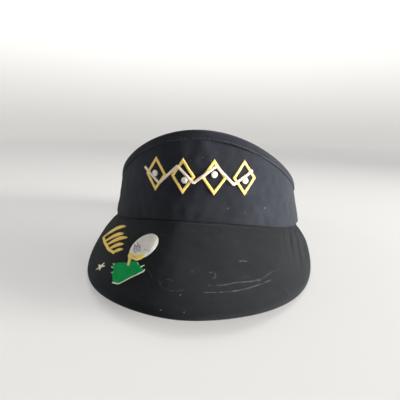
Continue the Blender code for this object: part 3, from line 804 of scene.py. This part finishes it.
def sweatband(look, thread):
    """A soft terry pad round the inside, stitched near its lower and upper edges."""
    angle = band_angles(361, 0.017)
    drop = BILL_THICK * ease((CORNER - np.abs(angle)) / math.radians(8)) - 0.4 * MM
    low = band_low(angle) - drop
    top = np.minimum(low + SWEATBAND_HEIGHT, band_top(angle) - HEM_LEG - 0.6 * MM)
    share = np.linspace(0, 1, 30)[None]
    height = top - low
    z = low + height * share
    edge = np.minimum(share, 1 - share) * height
    rise = np.clip(edge / (3.2 * MM), 0, 1)
    pad = 1.2 * MM + 0.9 * MM * np.sqrt(rise * (2 - rise))
    channel = 0.55 * MM * bell(edge, PAD_SEAM, 0.9 * MM)
    soft = 0.12 * MM * swell(angle * ARC_R, z, 18 * MM, 51)
    face = band(angle, z, 3.5 * MM + pad - channel + soft * ease(edge / (3 * MM)))
    sewn = np.zeros(face.shape[:2], bool)
    sewn[:, [0, -1]] = sewn[[0, -1]] = True
    seam_rows = np.abs(edge - PAD_SEAM) <= 0.52 * height / (share.size - 1)
    sewn |= seam_rows & (np.arange(len(angle)) % 2 == 0)[:, None]
    face = puffed(face, sewn, pressure=2.5, slack=0.035, farthest=1.4 * MM)
    back = band(angle, z, 3.55 * MM + 0 * z)
    points = np.concatenate([back.reshape(-1, 3), face.reshape(-1, 3)])
    pad_piece = make_piece("sweatband_pad", points, sheet_faces(*face.shape[:2]), look,
                           ["sweatband"])
    angle = angle[:, 0]
    for name, z, replaced in (("sweatband_lower_stitches", low[:, 0] + PAD_SEAM, ["sweatband_stitches"]),
                              ("sweatband_upper_stitches", top[:, 0] - PAD_SEAM, [])):
        line = band(angle, z, 5.05 * MM + 0 * angle)
        away = band(angle, z, 6.05 * MM + 0 * angle) - line
        running_stitches(name, line, away, thread, replaced)


# --- bill ---
def half_edge():
    """The bill's edge in plan from its corner round to the middle of its front, for x > 0."""
    corner = np.array([float(c) for c in ring(CORNER)])
    widest = np.array([BILL_HALF, -BILL_WIDEST])
    control = np.array([BILL_HALF, -BILL_WIDEST + (corner[1] + BILL_WIDEST) * 0.489])
    t = np.linspace(0, 1, 30, endpoint=False)[:, None]
    side = corner * (1 - t) ** 2 + control * 2 * t * (1 - t) + widest * t * t
    t = np.linspace(0, math.pi / 2, 160)
    reach = RING_FRONT + BILL_DEPTH - BILL_WIDEST
    x = BILL_HALF * np.maximum(np.cos(t), 0) ** EDGE_POWER
    front = np.stack([x, -BILL_WIDEST - reach * np.sin(t) ** EDGE_POWER], -1)
    return np.concatenate([side, front])


def bill_plan():
    """Plan points on the seam and on the bill's edge, from one corner to the other."""
    share, fine = np.linspace(-1, 1, 221), 4000
    edge = spread_along(half_edge(), fine + 1)
    rim = edge[np.round((1 - np.abs(share)) * fine).astype(int)]
    rim[:, 0] *= np.sign(share)
    return np.stack(ring(CORNER * share, 3.2 * MM), -1), rim


def bill_cloth(name, look, replaced, top):
    """The cloth on one side of the bill, turned round the edge to its middle."""
    seam, rim = bill_plan()
    away = rim - seam
    long = length(away)
    away /= long
    half = BILL_THICK / 2
    radius = np.minimum(half, 0.45 * long)
    flat = (np.linspace(0, 1, 72) ** 1.25)[None, :, None]
    turn = np.radians(np.linspace(90, 5, 10)[1:])[None, :, None]
    level = seam[:, None] + away[:, None] * (long - radius)[:, None] * flat
    around = rim[:, None] - away[:, None] * radius[:, None] * (1 - np.cos(turn))
    plan = np.concatenate([level, around], 1)
    turned = half - half * np.sin(turn[..., 0]) + 0 * around[..., 0]
    depth = np.concatenate([0 * level[..., 0], turned], 1)
    x, y = plan[..., 0], plan[..., 1]
    inset = np.linalg.norm(rim[:, None] - plan, axis=-1)
    board_edge = -0.22 * MM * ease((3.6 * MM - inset) / (2.2 * MM)) + 0.10 * MM * bell(inset, 4.2 * MM, MM)
    fade = ease(inset / (5 * MM))
    if top:
        groove = 0.55 * MM * bell(np.linalg.norm(plan - seam[:, None], axis=-1), 3.4 * MM, 1.5 * MM)
        z = bill_top(x, y) - depth + bill_relief(x, y) * (0.4 + 0.6 * fade) + board_edge - groove
    else:
        below = 0.3 * MM * swell(x, y, 50 * MM, 61) * fade
        z = bill_top(x, y) - BILL_THICK + depth + below - board_edge
    outer = stack(x, y, z)
    cloth = (x, y / math.cos(math.atan(BILL_SLOPE)))
    if top:
        outer, cloth = outer[::-1], (cloth[0][::-1], cloth[1][::-1])
    sheet = cloth_sheet(name, outer, 0.7 * MM, cloth, look, replaced)


# --- embroidery ---
LOZENGES = (-0.0370, -0.0125, 0.0120, 0.0365)
LOZENGE_MIDDLE, LOZENGE_HALF, LOZENGE_TALL, LOZENGE_STROKE = 0.0360, 0.0102, 0.0140, 0.0030
CHEVRON = [(-0.0485, 0.0405), (-0.0335, 0.0290), (-0.0170, 0.0435), (-0.0040, 0.0315), (0.0135, 0.0445),
           (0.0275, 0.0310), (0.0435, 0.0415)]
CHEVRON_WIDTH = 0.0024
DOTS = [(-0.0375, 0.0365), (-0.0110, 0.0330), (0.0122, 0.0385), (0.0370, 0.0340)]
DOT_R, DOT_REACH, DOT_DOME = 2.5 * MM, 2.7 * MM, 0.75 * MM


def lozenge(middle, shrink):
    half, tall = LOZENGE_HALF - shrink, LOZENGE_TALL - shrink * LOZENGE_TALL / LOZENGE_HALF
    return np.array([(middle - half, LOZENGE_MIDDLE), (middle, LOZENGE_MIDDLE - tall),
                     (middle + half, LOZENGE_MIDDLE), (middle, LOZENGE_MIDDLE + tall)])


def crown_ornament(gold, cream, white):
    for i, middle in enumerate(LOZENGES):
        outer, inner = lozenge(middle, 0), lozenge(middle, LOZENGE_STROKE)
        sides = []
        for k in range(4):
            side = [k, (k + 1) % 4]
            sides.append(satin(outer[side], inner[side], arch=0.45 * MM, seed=100 + 4 * i + k))
        stitched(f"gold_lozenge_{i + 1}", np.concatenate(sides), on_crown, gold,
                 [f"crown_lozenge_{i + 1}"], seed=i)
    rows = []
    for k, leg in enumerate(zip(CHEVRON, CHEVRON[1:])):
        rails = ribbon_rails(leg, CHEVRON_WIDTH)
        rows.append(satin(*rails, base=0.45 * MM, arch=0.34 * MM, tone=0.6, seed=140 + k))
    stitched("cream_chevron", np.concatenate(rows), on_crown, cream, ["crown_chevron_band"],
             seed=11)
    for i, (u, v) in enumerate(DOTS):
        rows = filled(ellipse(u, v, DOT_R, count=20), 0.5 + i, stitch=9 * MM, base=0.35 * MM, arch=0.45 * MM,
                      tone=0.6, seed=160 + i)
        for row in rows:
            x, y = (row[0:2] + row[2:4]) / 2
            far = ((x - u) ** 2 + (y - v) ** 2) / DOT_REACH**2
            row[4] += DOT_DOME * math.sqrt(max(0.0, 1 - far)) * 0.7
        stitched(f"white_dot_{i + 1}", rows, on_crown, white, [f"crown_dot_{i + 1}"],
                 seed=20 + i)


SPRIG_STEM = [(-0.0838, -0.0777), (-0.0773, -0.0902), (-0.0668, -0.1072), (-0.0580, -0.1172)]
# Base, tip and width of each leaf.
SPRIG_LEAVES = [
    ((-0.0845, -0.0767), (-0.0612, -0.0824), 0.0064),
    ((-0.0785, -0.0892), (-0.0590, -0.0937), 0.0060),
    ((-0.0732, -0.0984), (-0.0528, -0.1022), 0.0058),
    ((-0.0672, -0.1072), (-0.0535, -0.1095), 0.0050),
    ((-0.0604, -0.1155), (-0.0515, -0.1162), 0.0044),
]
BALL_STRETCH = 1.37
BALL = (-0.0354, -0.1184, 0.0101, BALL_STRETCH, math.radians(4))
DIMPLE_MIDDLE, DIMPLE_THREAD = (-0.0358, -0.1182), 0.26 * MM
TEE_MIDDLE = (-0.0375, -0.1302)
# The rest in millimetres of the bill's plan. The dimples' arcs are (radius, first angle, last angle).
DIMPLE_ARCS = [(2.5, 165, 262), (3.6, 158, 276), (4.8, 155, 282), (6.1, 163, 250)]
DIMPLE_MARKS = [((-43.4, -114.4), (-41.6, -118.8)), ((-42.3, -112.2), (-40.3, -115.8)),
                ((-33.7, -123.4), (-32.8, -124.1)), ((-32.0, -124.5), (-31.1, -125.2)),
                ((-30.1, -125.6), (-29.2, -126.3))]
STAR_MIDDLE, STAR_NOTCH = (-64.4, -127.1), 1.5 * MM
STAR_TIPS = [(1.6, 3.6), (-3.9, 4.5), (-3.7, -1.1), (1.1, -4.8), (4.7, -2.2)]
TEE = [(-44.5, -126.2), (-43.8, -123.7), (-41.0, -125.4), (-37.2, -127.6), (-34.2, -128.4),
       (-31.6, -128.4), (-31.4, -131.2), (-33.2, -133.2), (-36.2, -133.6), (-39.4, -131.2),
       (-40.4, -131.2), (-40.0, -137.2), (-41.4, -136.4), (-42.3, -131.6), (-43.2, -128.8)]
TURF = [(-54.0, -129.5), (-48.5, -131.5), (-42.3, -133.8), (-39.5, -133.0), (-36.0, -134.5),
        (-33.5, -137.0), (-32.0, -139.0), (-29.0, -139.0), (-30.5, -140.7), (-28.0, -143.5),
        (-36.3, -148.8), (-41.0, -151.8), (-42.5, -151.3), (-46.5, -148.8), (-48.6, -144.0),
        (-51.0, -139.6), (-50.0, -137.2), (-54.3, -132.5), (-51.5, -134.5), (-53.5, -131.0)]
TURF_EDGE = [(-27.9, -143.0), (-28.0, -144.5), (-31.7, -146.8), (-36.2, -149.2), (-41.0, -152.0),
             (-42.5, -151.8), (-46.6, -149.4)]
TURF_STRAYS = [(-54.5, -132.3, -51.2, -135.8), (-51.3, -139.8, -49.8, -139.7),
               (-28.8, -139.0, -31.2, -141.2), (-34.6, -135.3, -33.3, -137.9),
               (-53.9, -129.9, -52.1, -132.5)]


def sprig(gold):
    rows = [satin(*ribbon_rails(SPRIG_STEM, 0.0020), seed=200, arch=0.4 * MM)]
    for i, (base, tip, width) in enumerate(SPRIG_LEAVES):
        base, along = np.array(base), np.array(tip) - np.array(base)
        long = np.linalg.norm(along)
        side = np.array([-along[1], along[0]]) / long * width / 2
        share = np.linspace(0.03, 0.97, 14)[:, None]
        belly = side * np.sin(math.pi * share**0.85) ** 0.8
        line = base + along * share + side / width * 0.24 * long * np.sin(math.pi * share)
        rows.append(satin(line + belly, line - belly, slant=1.2 * MM, arch=0.5 * MM, seed=210 + i))
    stitched("gold_sprig", np.concatenate(rows), on_bill, gold, ["bill_sprig"], seed=33)


def star(cream):
    middle, tips = np.array(STAR_MIDDLE) * MM, np.array(STAR_TIPS) * MM
    toward = tips / length(tips)
    notches = toward + np.roll(toward, -1, axis=0)
    notches *= STAR_NOTCH / length(notches)
    rows = []
    for k, tip in enumerate(tips):
        left, right = ([middle, middle + notch, middle + tip] for notch in (notches[k - 1], notches[k]))
        rows.append(satin(left, right, arch=0.4 * MM, tone=0.75, seed=230 + k))
    stitched("cream_star", np.concatenate(rows), on_bill, cream, ["bill_star"], seed=34)


def ball_dome(u, v):
    x, y, radius, stretch, _ = BALL
    far = math.hypot((u - x) / radius, (v - y) / (radius * stretch))
    return 0.7 * MM * math.sqrt(max(0.0, 1 - far * far))


def golf_ball(white, violet):
    x, y, radius, *shape = BALL
    body = ellipse(x, y, radius - 1.2 * MM, *shape)
    rows = [filled(body, math.radians(62), stitch=4.2 * MM, arch=0.14 * MM, tone=0.62, seed=240,
                   dome=ball_dome)]
    rims = [ellipse(x, y, radius - inset, *shape, 72) for inset in (0, 1.5 * MM)]
    closed = [np.vstack([loop, loop[:1]]) for loop in rims]
    rows.append(satin(*closed, base=0.1 * MM, arch=0.35 * MM, tone=0.45, seed=241))
    stitched("white_ball", np.concatenate(rows), on_bill, white, ["bill_ball"], seed=35)
    dimples(violet)


def dimples(violet):
    """Bent rows of violet thread on the ball's lower left, with a few short marks beside them."""
    x, y = DIMPLE_MIDDLE
    marks = []
    for radius, start, end in DIMPLE_ARCS:
        angle = np.radians(np.linspace(start, end, 9))
        marks.append((x + radius * MM * np.cos(angle), y + BALL_STRETCH * radius * MM * np.sin(angle)))
    marks += [tuple(np.linspace(one, two, 9).T * MM) for one, two in DIMPLE_MARKS]
    paths, ups = [], []
    for u, v in marks:
        lift = 0.50 * MM + np.array([ball_dome(*p) for p in zip(u, v)])
        lift[[0, -1]] -= 0.3 * MM
        points, normals = on_bill(u, v, lift)
        paths.append(points)
        ups.append(normals)
    verts, faces, each = thread_tubes(np.array(paths), np.array(ups), DIMPLE_THREAD)
    tones = np.random.default_rng(250).uniform(0, 0.6, len(marks))
    make_piece("ball_dimples", verts, faces, violet, ["bill_ball_shade"],
               tone=np.repeat(tones, each))


def tee(amber):
    rows = filled(np.array(TEE) * MM, math.radians(-28), stitch=3.2 * MM, base=0.62 * MM, arch=0.25 * MM,
                  seed=260)
    near = length((rows[:, 0:2] + rows[:, 2:4]) / 2 - TEE_MIDDLE)[:, 0]
    rows[:, 6] += 0.55 * bell(near, 0, 2.6 * MM)
    stitched("amber_tee", rows, on_bill, amber, ["bill_tee"], seed=36)


def turf(green, white):
    rows = filled(np.array(TURF) * MM, math.radians(64), stitch=3.4 * MM, arch=0.2 * MM, pitch=0.40 * MM,
                  seed=270, ragged=0.6 * MM)
    stitched("green_turf", rows, on_bill, green, ["bill_turf"], seed=37, radius=0.22 * MM)
    rows = [satin(*ribbon_rails(np.array(TURF_EDGE) * MM, 0.65 * MM), arch=0.3 * MM, tone=0.6, seed=280)]
    strays = np.array(TURF_STRAYS) * MM
    rows.append(np.hstack([strays, np.tile([0.35 * MM, 0.15 * MM, 0.6], (len(strays), 1))]))
    stitched("turf_edging", np.concatenate(rows), on_bill, white, ["bill_turf_outline"],
             seed=38)


# --- rear closure ---
def inside(point, loop):
    hit = False
    for (x1, y1), (x2, y2) in zip(loop, np.roll(loop, -1, axis=0)):
        if (y1 > point[1]) != (y2 > point[1]):
            if point[0] < x1 + (point[1] - y1) / (y2 - y1) * (x2 - x1):
                hit = not hit
    return hit


def resample(loop, step):
    loop = np.asarray(loop, float)
    points = []
    for one, two in zip(loop, np.roll(loop, -1, axis=0)):
        count = max(1, math.ceil(np.linalg.norm(two - one) / step))
        points += [one + (two - one) * i / count for i in range(count)]
    return np.array(points)


def round_box(u1, u2, v1, v2, radius, count=7):
    points = []
    for cu, cv, first in ((u2 - radius, v2 - radius, 0), (u1 + radius, v2 - radius, 90),
                          (u1 + radius, v1 + radius, 180), (u2 - radius, v1 + radius, 270)):
        turns = np.radians(first + np.linspace(0, 90, count))
        points += [(cu + radius * math.cos(t), cv + radius * math.sin(t)) for t in turns]
    return np.array(points)


def plate(name, outline, holes, lifts, step, look, replaced, bevel, body="root"):
    """A bevelled plate along the back of the ring, with round holes."""
    loops = [resample(loop, step) for loop in [outline] + holes]
    points, edges = [], []
    for loop in loops:
        first = len(points)
        points += [Vector(p) for p in loop]
        edges += [(first + i, first + (i + 1) % len(loop)) for i in range(len(loop))]
    low, high = outline.min(0), outline.max(0)
    for u in np.arange(low[0] + step, high[0], step):
        for v in np.arange(low[1] + step, high[1], step):
            near = min(np.min(np.linalg.norm(loop - (u, v), axis=1)) for loop in loops)
            if near > 0.6 * step:
                points.append(Vector((u, v)))
    flat, _, triangles, *_ = delaunay_2d_cdt(points, edges, [], 0, 1e-7)
    kept = []
    for tri in triangles:
        middle = sum((flat[i] for i in tri), Vector((0, 0))) / 3
        if inside(middle, outline) and not any(inside(middle, hole) for hole in holes):
            kept.append(tri)
    used = sorted({i for tri in kept for i in tri})
    place = {i: k for k, i in enumerate(used)}
    uv = np.array([flat[i] for i in used])
    count = len(used)
    verts = np.concatenate([on_rear(uv[:, 0], uv[:, 1], lift) for lift in lifts])
    faces, sides = [], set()
    for a, b, c in kept:
        a, b, c = place[a], place[b], place[c]
        faces += [(a + count, b + count, c + count), (c, b, a)]
        sides |= {(a, b), (b, c), (c, a)}
    faces += [(a, b, b + count, a + count) for a, b in sides if (b, a) not in sides]
    cloth = np.concatenate([np.hstack([uv, 0 * uv[:, :1] + lift]) for lift in lifts])
    obj = make_piece(name, verts, faces, look, replaced, cloth=cloth, body=None)
    smooth_edges(obj, bevel)
    attach(obj, body)


def smooth_edges(obj, width):
    """Rounds a plate's sharp edges in the mesh itself."""
    mesh = bmesh.new()
    mesh.from_mesh(obj.data)
    bmesh.ops.recalc_face_normals(mesh, faces=mesh.faces)
    sharp = [e for e in mesh.edges if len(e.link_faces) == 2 and e.calc_face_angle() > math.radians(50)]
    bmesh.ops.bevel(mesh, geom=sharp, offset=width, segments=3, profile=0.6, affect="EDGES",
                    clamp_overlap=True)
    for face in mesh.faces:
        face.smooth = True
    mesh.to_mesh(obj.data)
    mesh.free()
    obj.modifiers.new("even_normals", "WEIGHTED_NORMAL").keep_sharp = True


STRAP_ROOT = (math.pi - TAB_END) * RING_BACK  # along the back of the ring, at the tab's edge
STRAP_TUCK, STRAP_BEND = 5 * MM, (-0.3 * MM, 5 * MM)
TACK_SPAN, TACK_HEIGHT = (2.3 * MM, 4.1 * MM), (0.0048, 0.0202)


def station(number):
    return (number - 1.5) * STRAP_PITCH


def strap_outline(side):
    """A strap from inside its tab to its rounded tip past the middle."""
    root = STRAP_ROOT + STRAP_TUCK
    box = round_box(-STRAP_TIP, root, STRAP_BOTTOM, STRAP_BOTTOM + STRAP_HEIGHT, 4 * MM)
    box[:, 0] = np.where(box[:, 0] > root - STRAP_TUCK, root, box[:, 0])
    box[:, 0] *= side
    return box[::side]


def root_span(side, lift):
    """Where a strap starts and ends its bend; attach() reads these but makes no blend from them."""
    ends = [on_rear(side * (STRAP_ROOT - reach), STRAP_MIDDLE, -lift) for reach in STRAP_BEND]
    return [tuple(float(c) for c in end) for end in ends]


def snap_straps(look):
    holes = [ellipse(station(i), STRAP_MIDDLE, HOLE_R, count=28) for i in range(STRAP_HOLES)]
    for kind, side, cuts, (near, far), lift in (("holes", 1, holes, HOLES_STRAP, 0.8 * MM),
                                                ("studs", -1, [], STUDS_STRAP, 2.3 * MM)):
        plate(f"strap_with_{kind}", strap_outline(side), cuts, (-far, -near), 2.0 * MM, look,
              [f"snap_strap_{kind}"], 0.28 * MM, ("root", f"{kind}_strap", *root_span(side, lift)))
    studs(look)


STUD_PROFILE = [(2.45, -0.5), (2.4, 0.0), (2.15, 0.35), (1.85, 0.9), (1.80, 1.25), (2.05, 1.55), (2.10, 1.75),
                (1.95, 1.98), (1.5, 2.14), (0.8, 2.19), (0.0, 2.20)]


def studs(look):
    """Moulded studs: a waisted stem under a rounded head."""
    profile = np.array(STUD_PROFILE) * MM
    sides, rows = 28, len(profile) - 1
    turn = np.arange(sides) * TAU / sides
    verts, faces = [], []
    for i in range(STRAP_HOLES):
        base = on_rear(-station(i), STRAP_MIDDLE, -STUDS_STRAP[0])
        axis = on_rear(-station(i), STRAP_MIDDLE, 0.0) - base
        axis /= np.linalg.norm(axis)
        across = np.cross(axis, (0, 0, 1.0))
        first = len(verts)
        for radius, height in profile[:-1]:
            for t in turn:
                out = across * math.cos(t) + np.array((0, 0, math.sin(t)))
                verts.append(base + axis * height + radius * out)
        top = len(verts)
        verts.append(base + axis * profile[-1][1])
        for k in range(rows - 1):
            for s in range(sides):
                a, b = first + k * sides + s, first + k * sides + (s + 1) % sides
                faces.append((a, b, b + sides, a + sides))
        last = first + (rows - 1) * sides
        faces += [(last + s, last + (s + 1) % sides, top) for s in range(sides)]
        faces.append(tuple(first + s for s in range(sides - 1, -1, -1)))
    make_piece("snap_studs", verts, faces, look, ["snap_strap_studs"], body="studs_strap")


def rear_tabs(cloth, thread):
    start, end = STRAP_ROOT, (math.pi - (BAND_END - 0.02)) * RING_BACK
    inset = 1.3 * MM
    for side, name in ((-1, "left"), (1, "right")):
        box = round_box(start, end, 0.0002, REAR_HEIGHT, 1.2 * MM, 5)
        box[:, 0] *= side
        plate(f"{name}_folded_tab", box[::side], [], (-3.9 * MM, 0.55 * MM), 1.5 * MM, cloth,
              [f"{name}_rear_tab"], 0.9 * MM)
        rail = np.array([(side * (start + reach), v) for reach in TACK_SPAN for v in TACK_HEIGHT])
        rows = satin(rail[:2], rail[2:], base=0.55 * MM, arch=0.35 * MM, pitch=0.34 * MM, seed=300)
        stitched(f"{name}_tack_stitches", rows, rear_spot, thread, [f"{name}_bar_tack"],
                 seed=40)
        path = round_box(start + inset, end - inset, 0.0016, REAR_HEIGHT - 1.6 * MM, MM, 3)
        path = resample(path, 0.5 * MM)
        path = np.vstack([path, path[:1]])
        line = on_rear(side * path[:, 0], path[:, 1], 0.62 * MM)
        away = line - on_rear(side * path[:, 0], path[:, 1], 0.0)
        running_stitches(f"{name}_tab_stitches", line, away, thread)


def rear_spot(u, v, lift):
    points = on_rear(u, v, lift)
    return points, unit(points - on_rear(u, v, np.asarray(lift) - MM))


# --- studio ---
CAMERA_AT = (0.0247, -0.3170, 0.0685)
PITCH, YAW, ROLL = math.radians(12.65), math.radians(5.95), math.radians(-1.85)
LENS, SENSOR = 27.1, 36.0
SKY_COLOR, SKY_STRENGTH = (0.95, 0.97, 1.0, 1.0), 0.37
LIGHTS_AIM = (0.0, -0.03, 0.06)
FLOOR_FLAT, FLOOR_CURVE, WALL_HEIGHT, FLOOR_SIDES = 4.2, 1.3, 3.0, 96


def camera():
    ahead = Vector((-math.sin(YAW) * math.cos(PITCH), math.cos(YAW) * math.cos(PITCH), -math.sin(PITCH)))
    right = Vector((math.cos(YAW), math.sin(YAW), 0))
    down = ahead.cross(right)
    cos, sin = math.cos(ROLL), math.sin(ROLL)
    right, down = cos * right + sin * down, -sin * right + cos * down
    data = bpy.data.cameras.new("camera")
    data.lens, data.sensor_width = LENS, SENSOR
    data.clip_start = 0.01
    made = link("camera", data)
    turn = Matrix((right, -down, -ahead)).transposed().to_4x4()
    x, y, z = CAMERA_AT
    made.matrix_world = Matrix.Translation((x, y + RING_Y, z + SEAM_Z)) @ turn
    bpy.context.scene.camera = made


def soft_light(name, place, power, size, color=(1, 1, 1)):
    data = bpy.data.lights.new(name, "AREA")
    data.shape, (data.size, data.size_y), data.spread = "RECTANGLE", size, math.radians(60)
    data.energy, data.color = power, color
    made = link(name, data)
    made.location = place
    made.rotation_euler = (Vector(LIGHTS_AIM) - Vector(place)).to_track_quat("-Z", "Y").to_euler()


def backdrop():
    """A pale round floor that curves up into a wall, well away from the visor on every side."""
    sides, curve = FLOOR_SIDES, FLOOR_CURVE
    turns = np.linspace(0, math.pi / 2, 24)
    profile = [(FLOOR_FLAT + curve * math.sin(t), curve - curve * math.cos(t)) for t in turns]
    profile.append((FLOOR_FLAT + curve, WALL_HEIGHT))
    verts = [(r * math.cos(k * TAU / sides), r * math.sin(k * TAU / sides), z)
             for r, z in profile for k in range(sides)]
    faces = [tuple(range(sides))]
    for row in range(len(profile) - 1):
        for k in range(sides):
            a, b = row * sides + k, row * sides + (k + 1) % sides
            faces.append((a, a + sides, b + sides, b))
    mesh = bpy.data.meshes.new("floor")
    mesh.from_pydata(verts, [], faces)
    for polygon in mesh.polygons:
        polygon.use_smooth = len(polygon.vertices) == 4
    mesh.materials.append(floor_look())
    link("floor", mesh)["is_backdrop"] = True


def studio():
    scene = bpy.context.scene
    scene.view_settings.view_transform = "Standard"
    scene.world = bpy.data.worlds.new("soft_room")
    scene.world.use_nodes = True
    sky = scene.world.node_tree.nodes["Background"].inputs
    sky["Color"].default_value, sky["Strength"].default_value = SKY_COLOR, SKY_STRENGTH
    soft_light("window_right", (2.0, -0.26, 0.13), 27.0, (0.9, 0.34), (1.0, 0.99, 0.97))
    soft_light("top_fill", (0.3, 0.6, 1.9), 0.8, (1.2, 1.2))
    backdrop()
    camera()


def hidden_parts():
    """CAD nodes that stay, inside the sewn layers, with their own materials."""
    for node, look in (("crown_stiffener", buckram_look()), ("bill_board", board_look())):
        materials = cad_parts[node].data.materials
        materials.clear()
        materials.append(look)


# Dark and light colours of each cloth, then its sheen, its shine and whether it is scuffed.
CLOTHS = {
    "crown": ((0.0054, 0.0066, 0.0108), (0.0118, 0.0134, 0.0190), 0.09, 0.2),
    # Painted shade: the bill's top cloth is a darker copy of the crown's cloth, to darken its upward face.
    "bill": ((0.0032, 0.0037, 0.0045), (0.0074, 0.0082, 0.0097), 0.078, 0.13, True),
    "under": ((0.0045, 0.0050, 0.0060), (0.0080, 0.0088, 0.0100), 0.05, 0.1),
    "facing": ((0.026, 0.027, 0.032), (0.036, 0.038, 0.044)),
}
# Dark and light colours of each thread, its roughness and sheen, then a warm tone and the shine.
THREADS = {
    "dark": ((0.020, 0.021, 0.027), (0.045, 0.048, 0.058), 0.5, 0.12),
    "gold": ((0.66, 0.44, 0.08), (1.0, 0.77, 0.25), 0.4, 0.05),
    "amber": ((0.82, 0.62, 0.12), (1.0, 0.86, 0.30), 0.4, 0.06, (1.0, 0.42, 0.08)),
    "bright_gold": ((0.90, 0.56, 0.085), (1.0, 0.76, 0.18), 0.4, 0.05),
    "pale_cream": ((0.88, 0.77, 0.55), (1.0, 0.92, 0.72), 0.45, 0.06),
    "cream": ((0.63, 0.53, 0.39), (0.93, 0.83, 0.66), 0.45, 0.06),
    "white": ((0.74, 0.71, 0.64), (0.95, 0.93, 0.86), 0.5, 0.06),
    "violet": ((0.15, 0.12, 0.24), (0.40, 0.36, 0.54), 0.45, 0.1),
    "green": ((0.0004, 0.24, 0.055), (0.001, 0.50, 0.12), 0.6, 0.0, None, 0.15),
}


def main():
    cloth = {name: twill_look(f"{name}_twill", *facts) for name, facts in CLOTHS.items()}
    thread = {name: thread_look(f"{name}_thread", *facts) for name, facts in THREADS.items()}
    crown_cloth(cloth["crown"])
    top_hem(cloth["crown"], thread["dark"])
    inner_facing(cloth["facing"])
    sweatband(terry_look(), thread["dark"])
    bill_cloth("bill_top_cloth", cloth["bill"], ["bill_top_cover"], True)
    bill_cloth("bill_under_cloth", cloth["under"], ["bill_under_cover"], False)
    crown_ornament(thread["gold"], thread["cream"], thread["white"])
    sprig(thread["bright_gold"])
    star(thread["pale_cream"])
    golf_ball(thread["white"], thread["violet"])
    tee(thread["amber"])
    turf(thread["green"], thread["white"])
    rear_tabs(cloth["crown"], thread["dark"])
    snap_straps(plastic_look())
    hidden_parts()
    studio()


main()

sizes = {"cad": cad_box, "visual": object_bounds()}
{key: [list(corner) for corner in box] for key, box in sizes.items()}
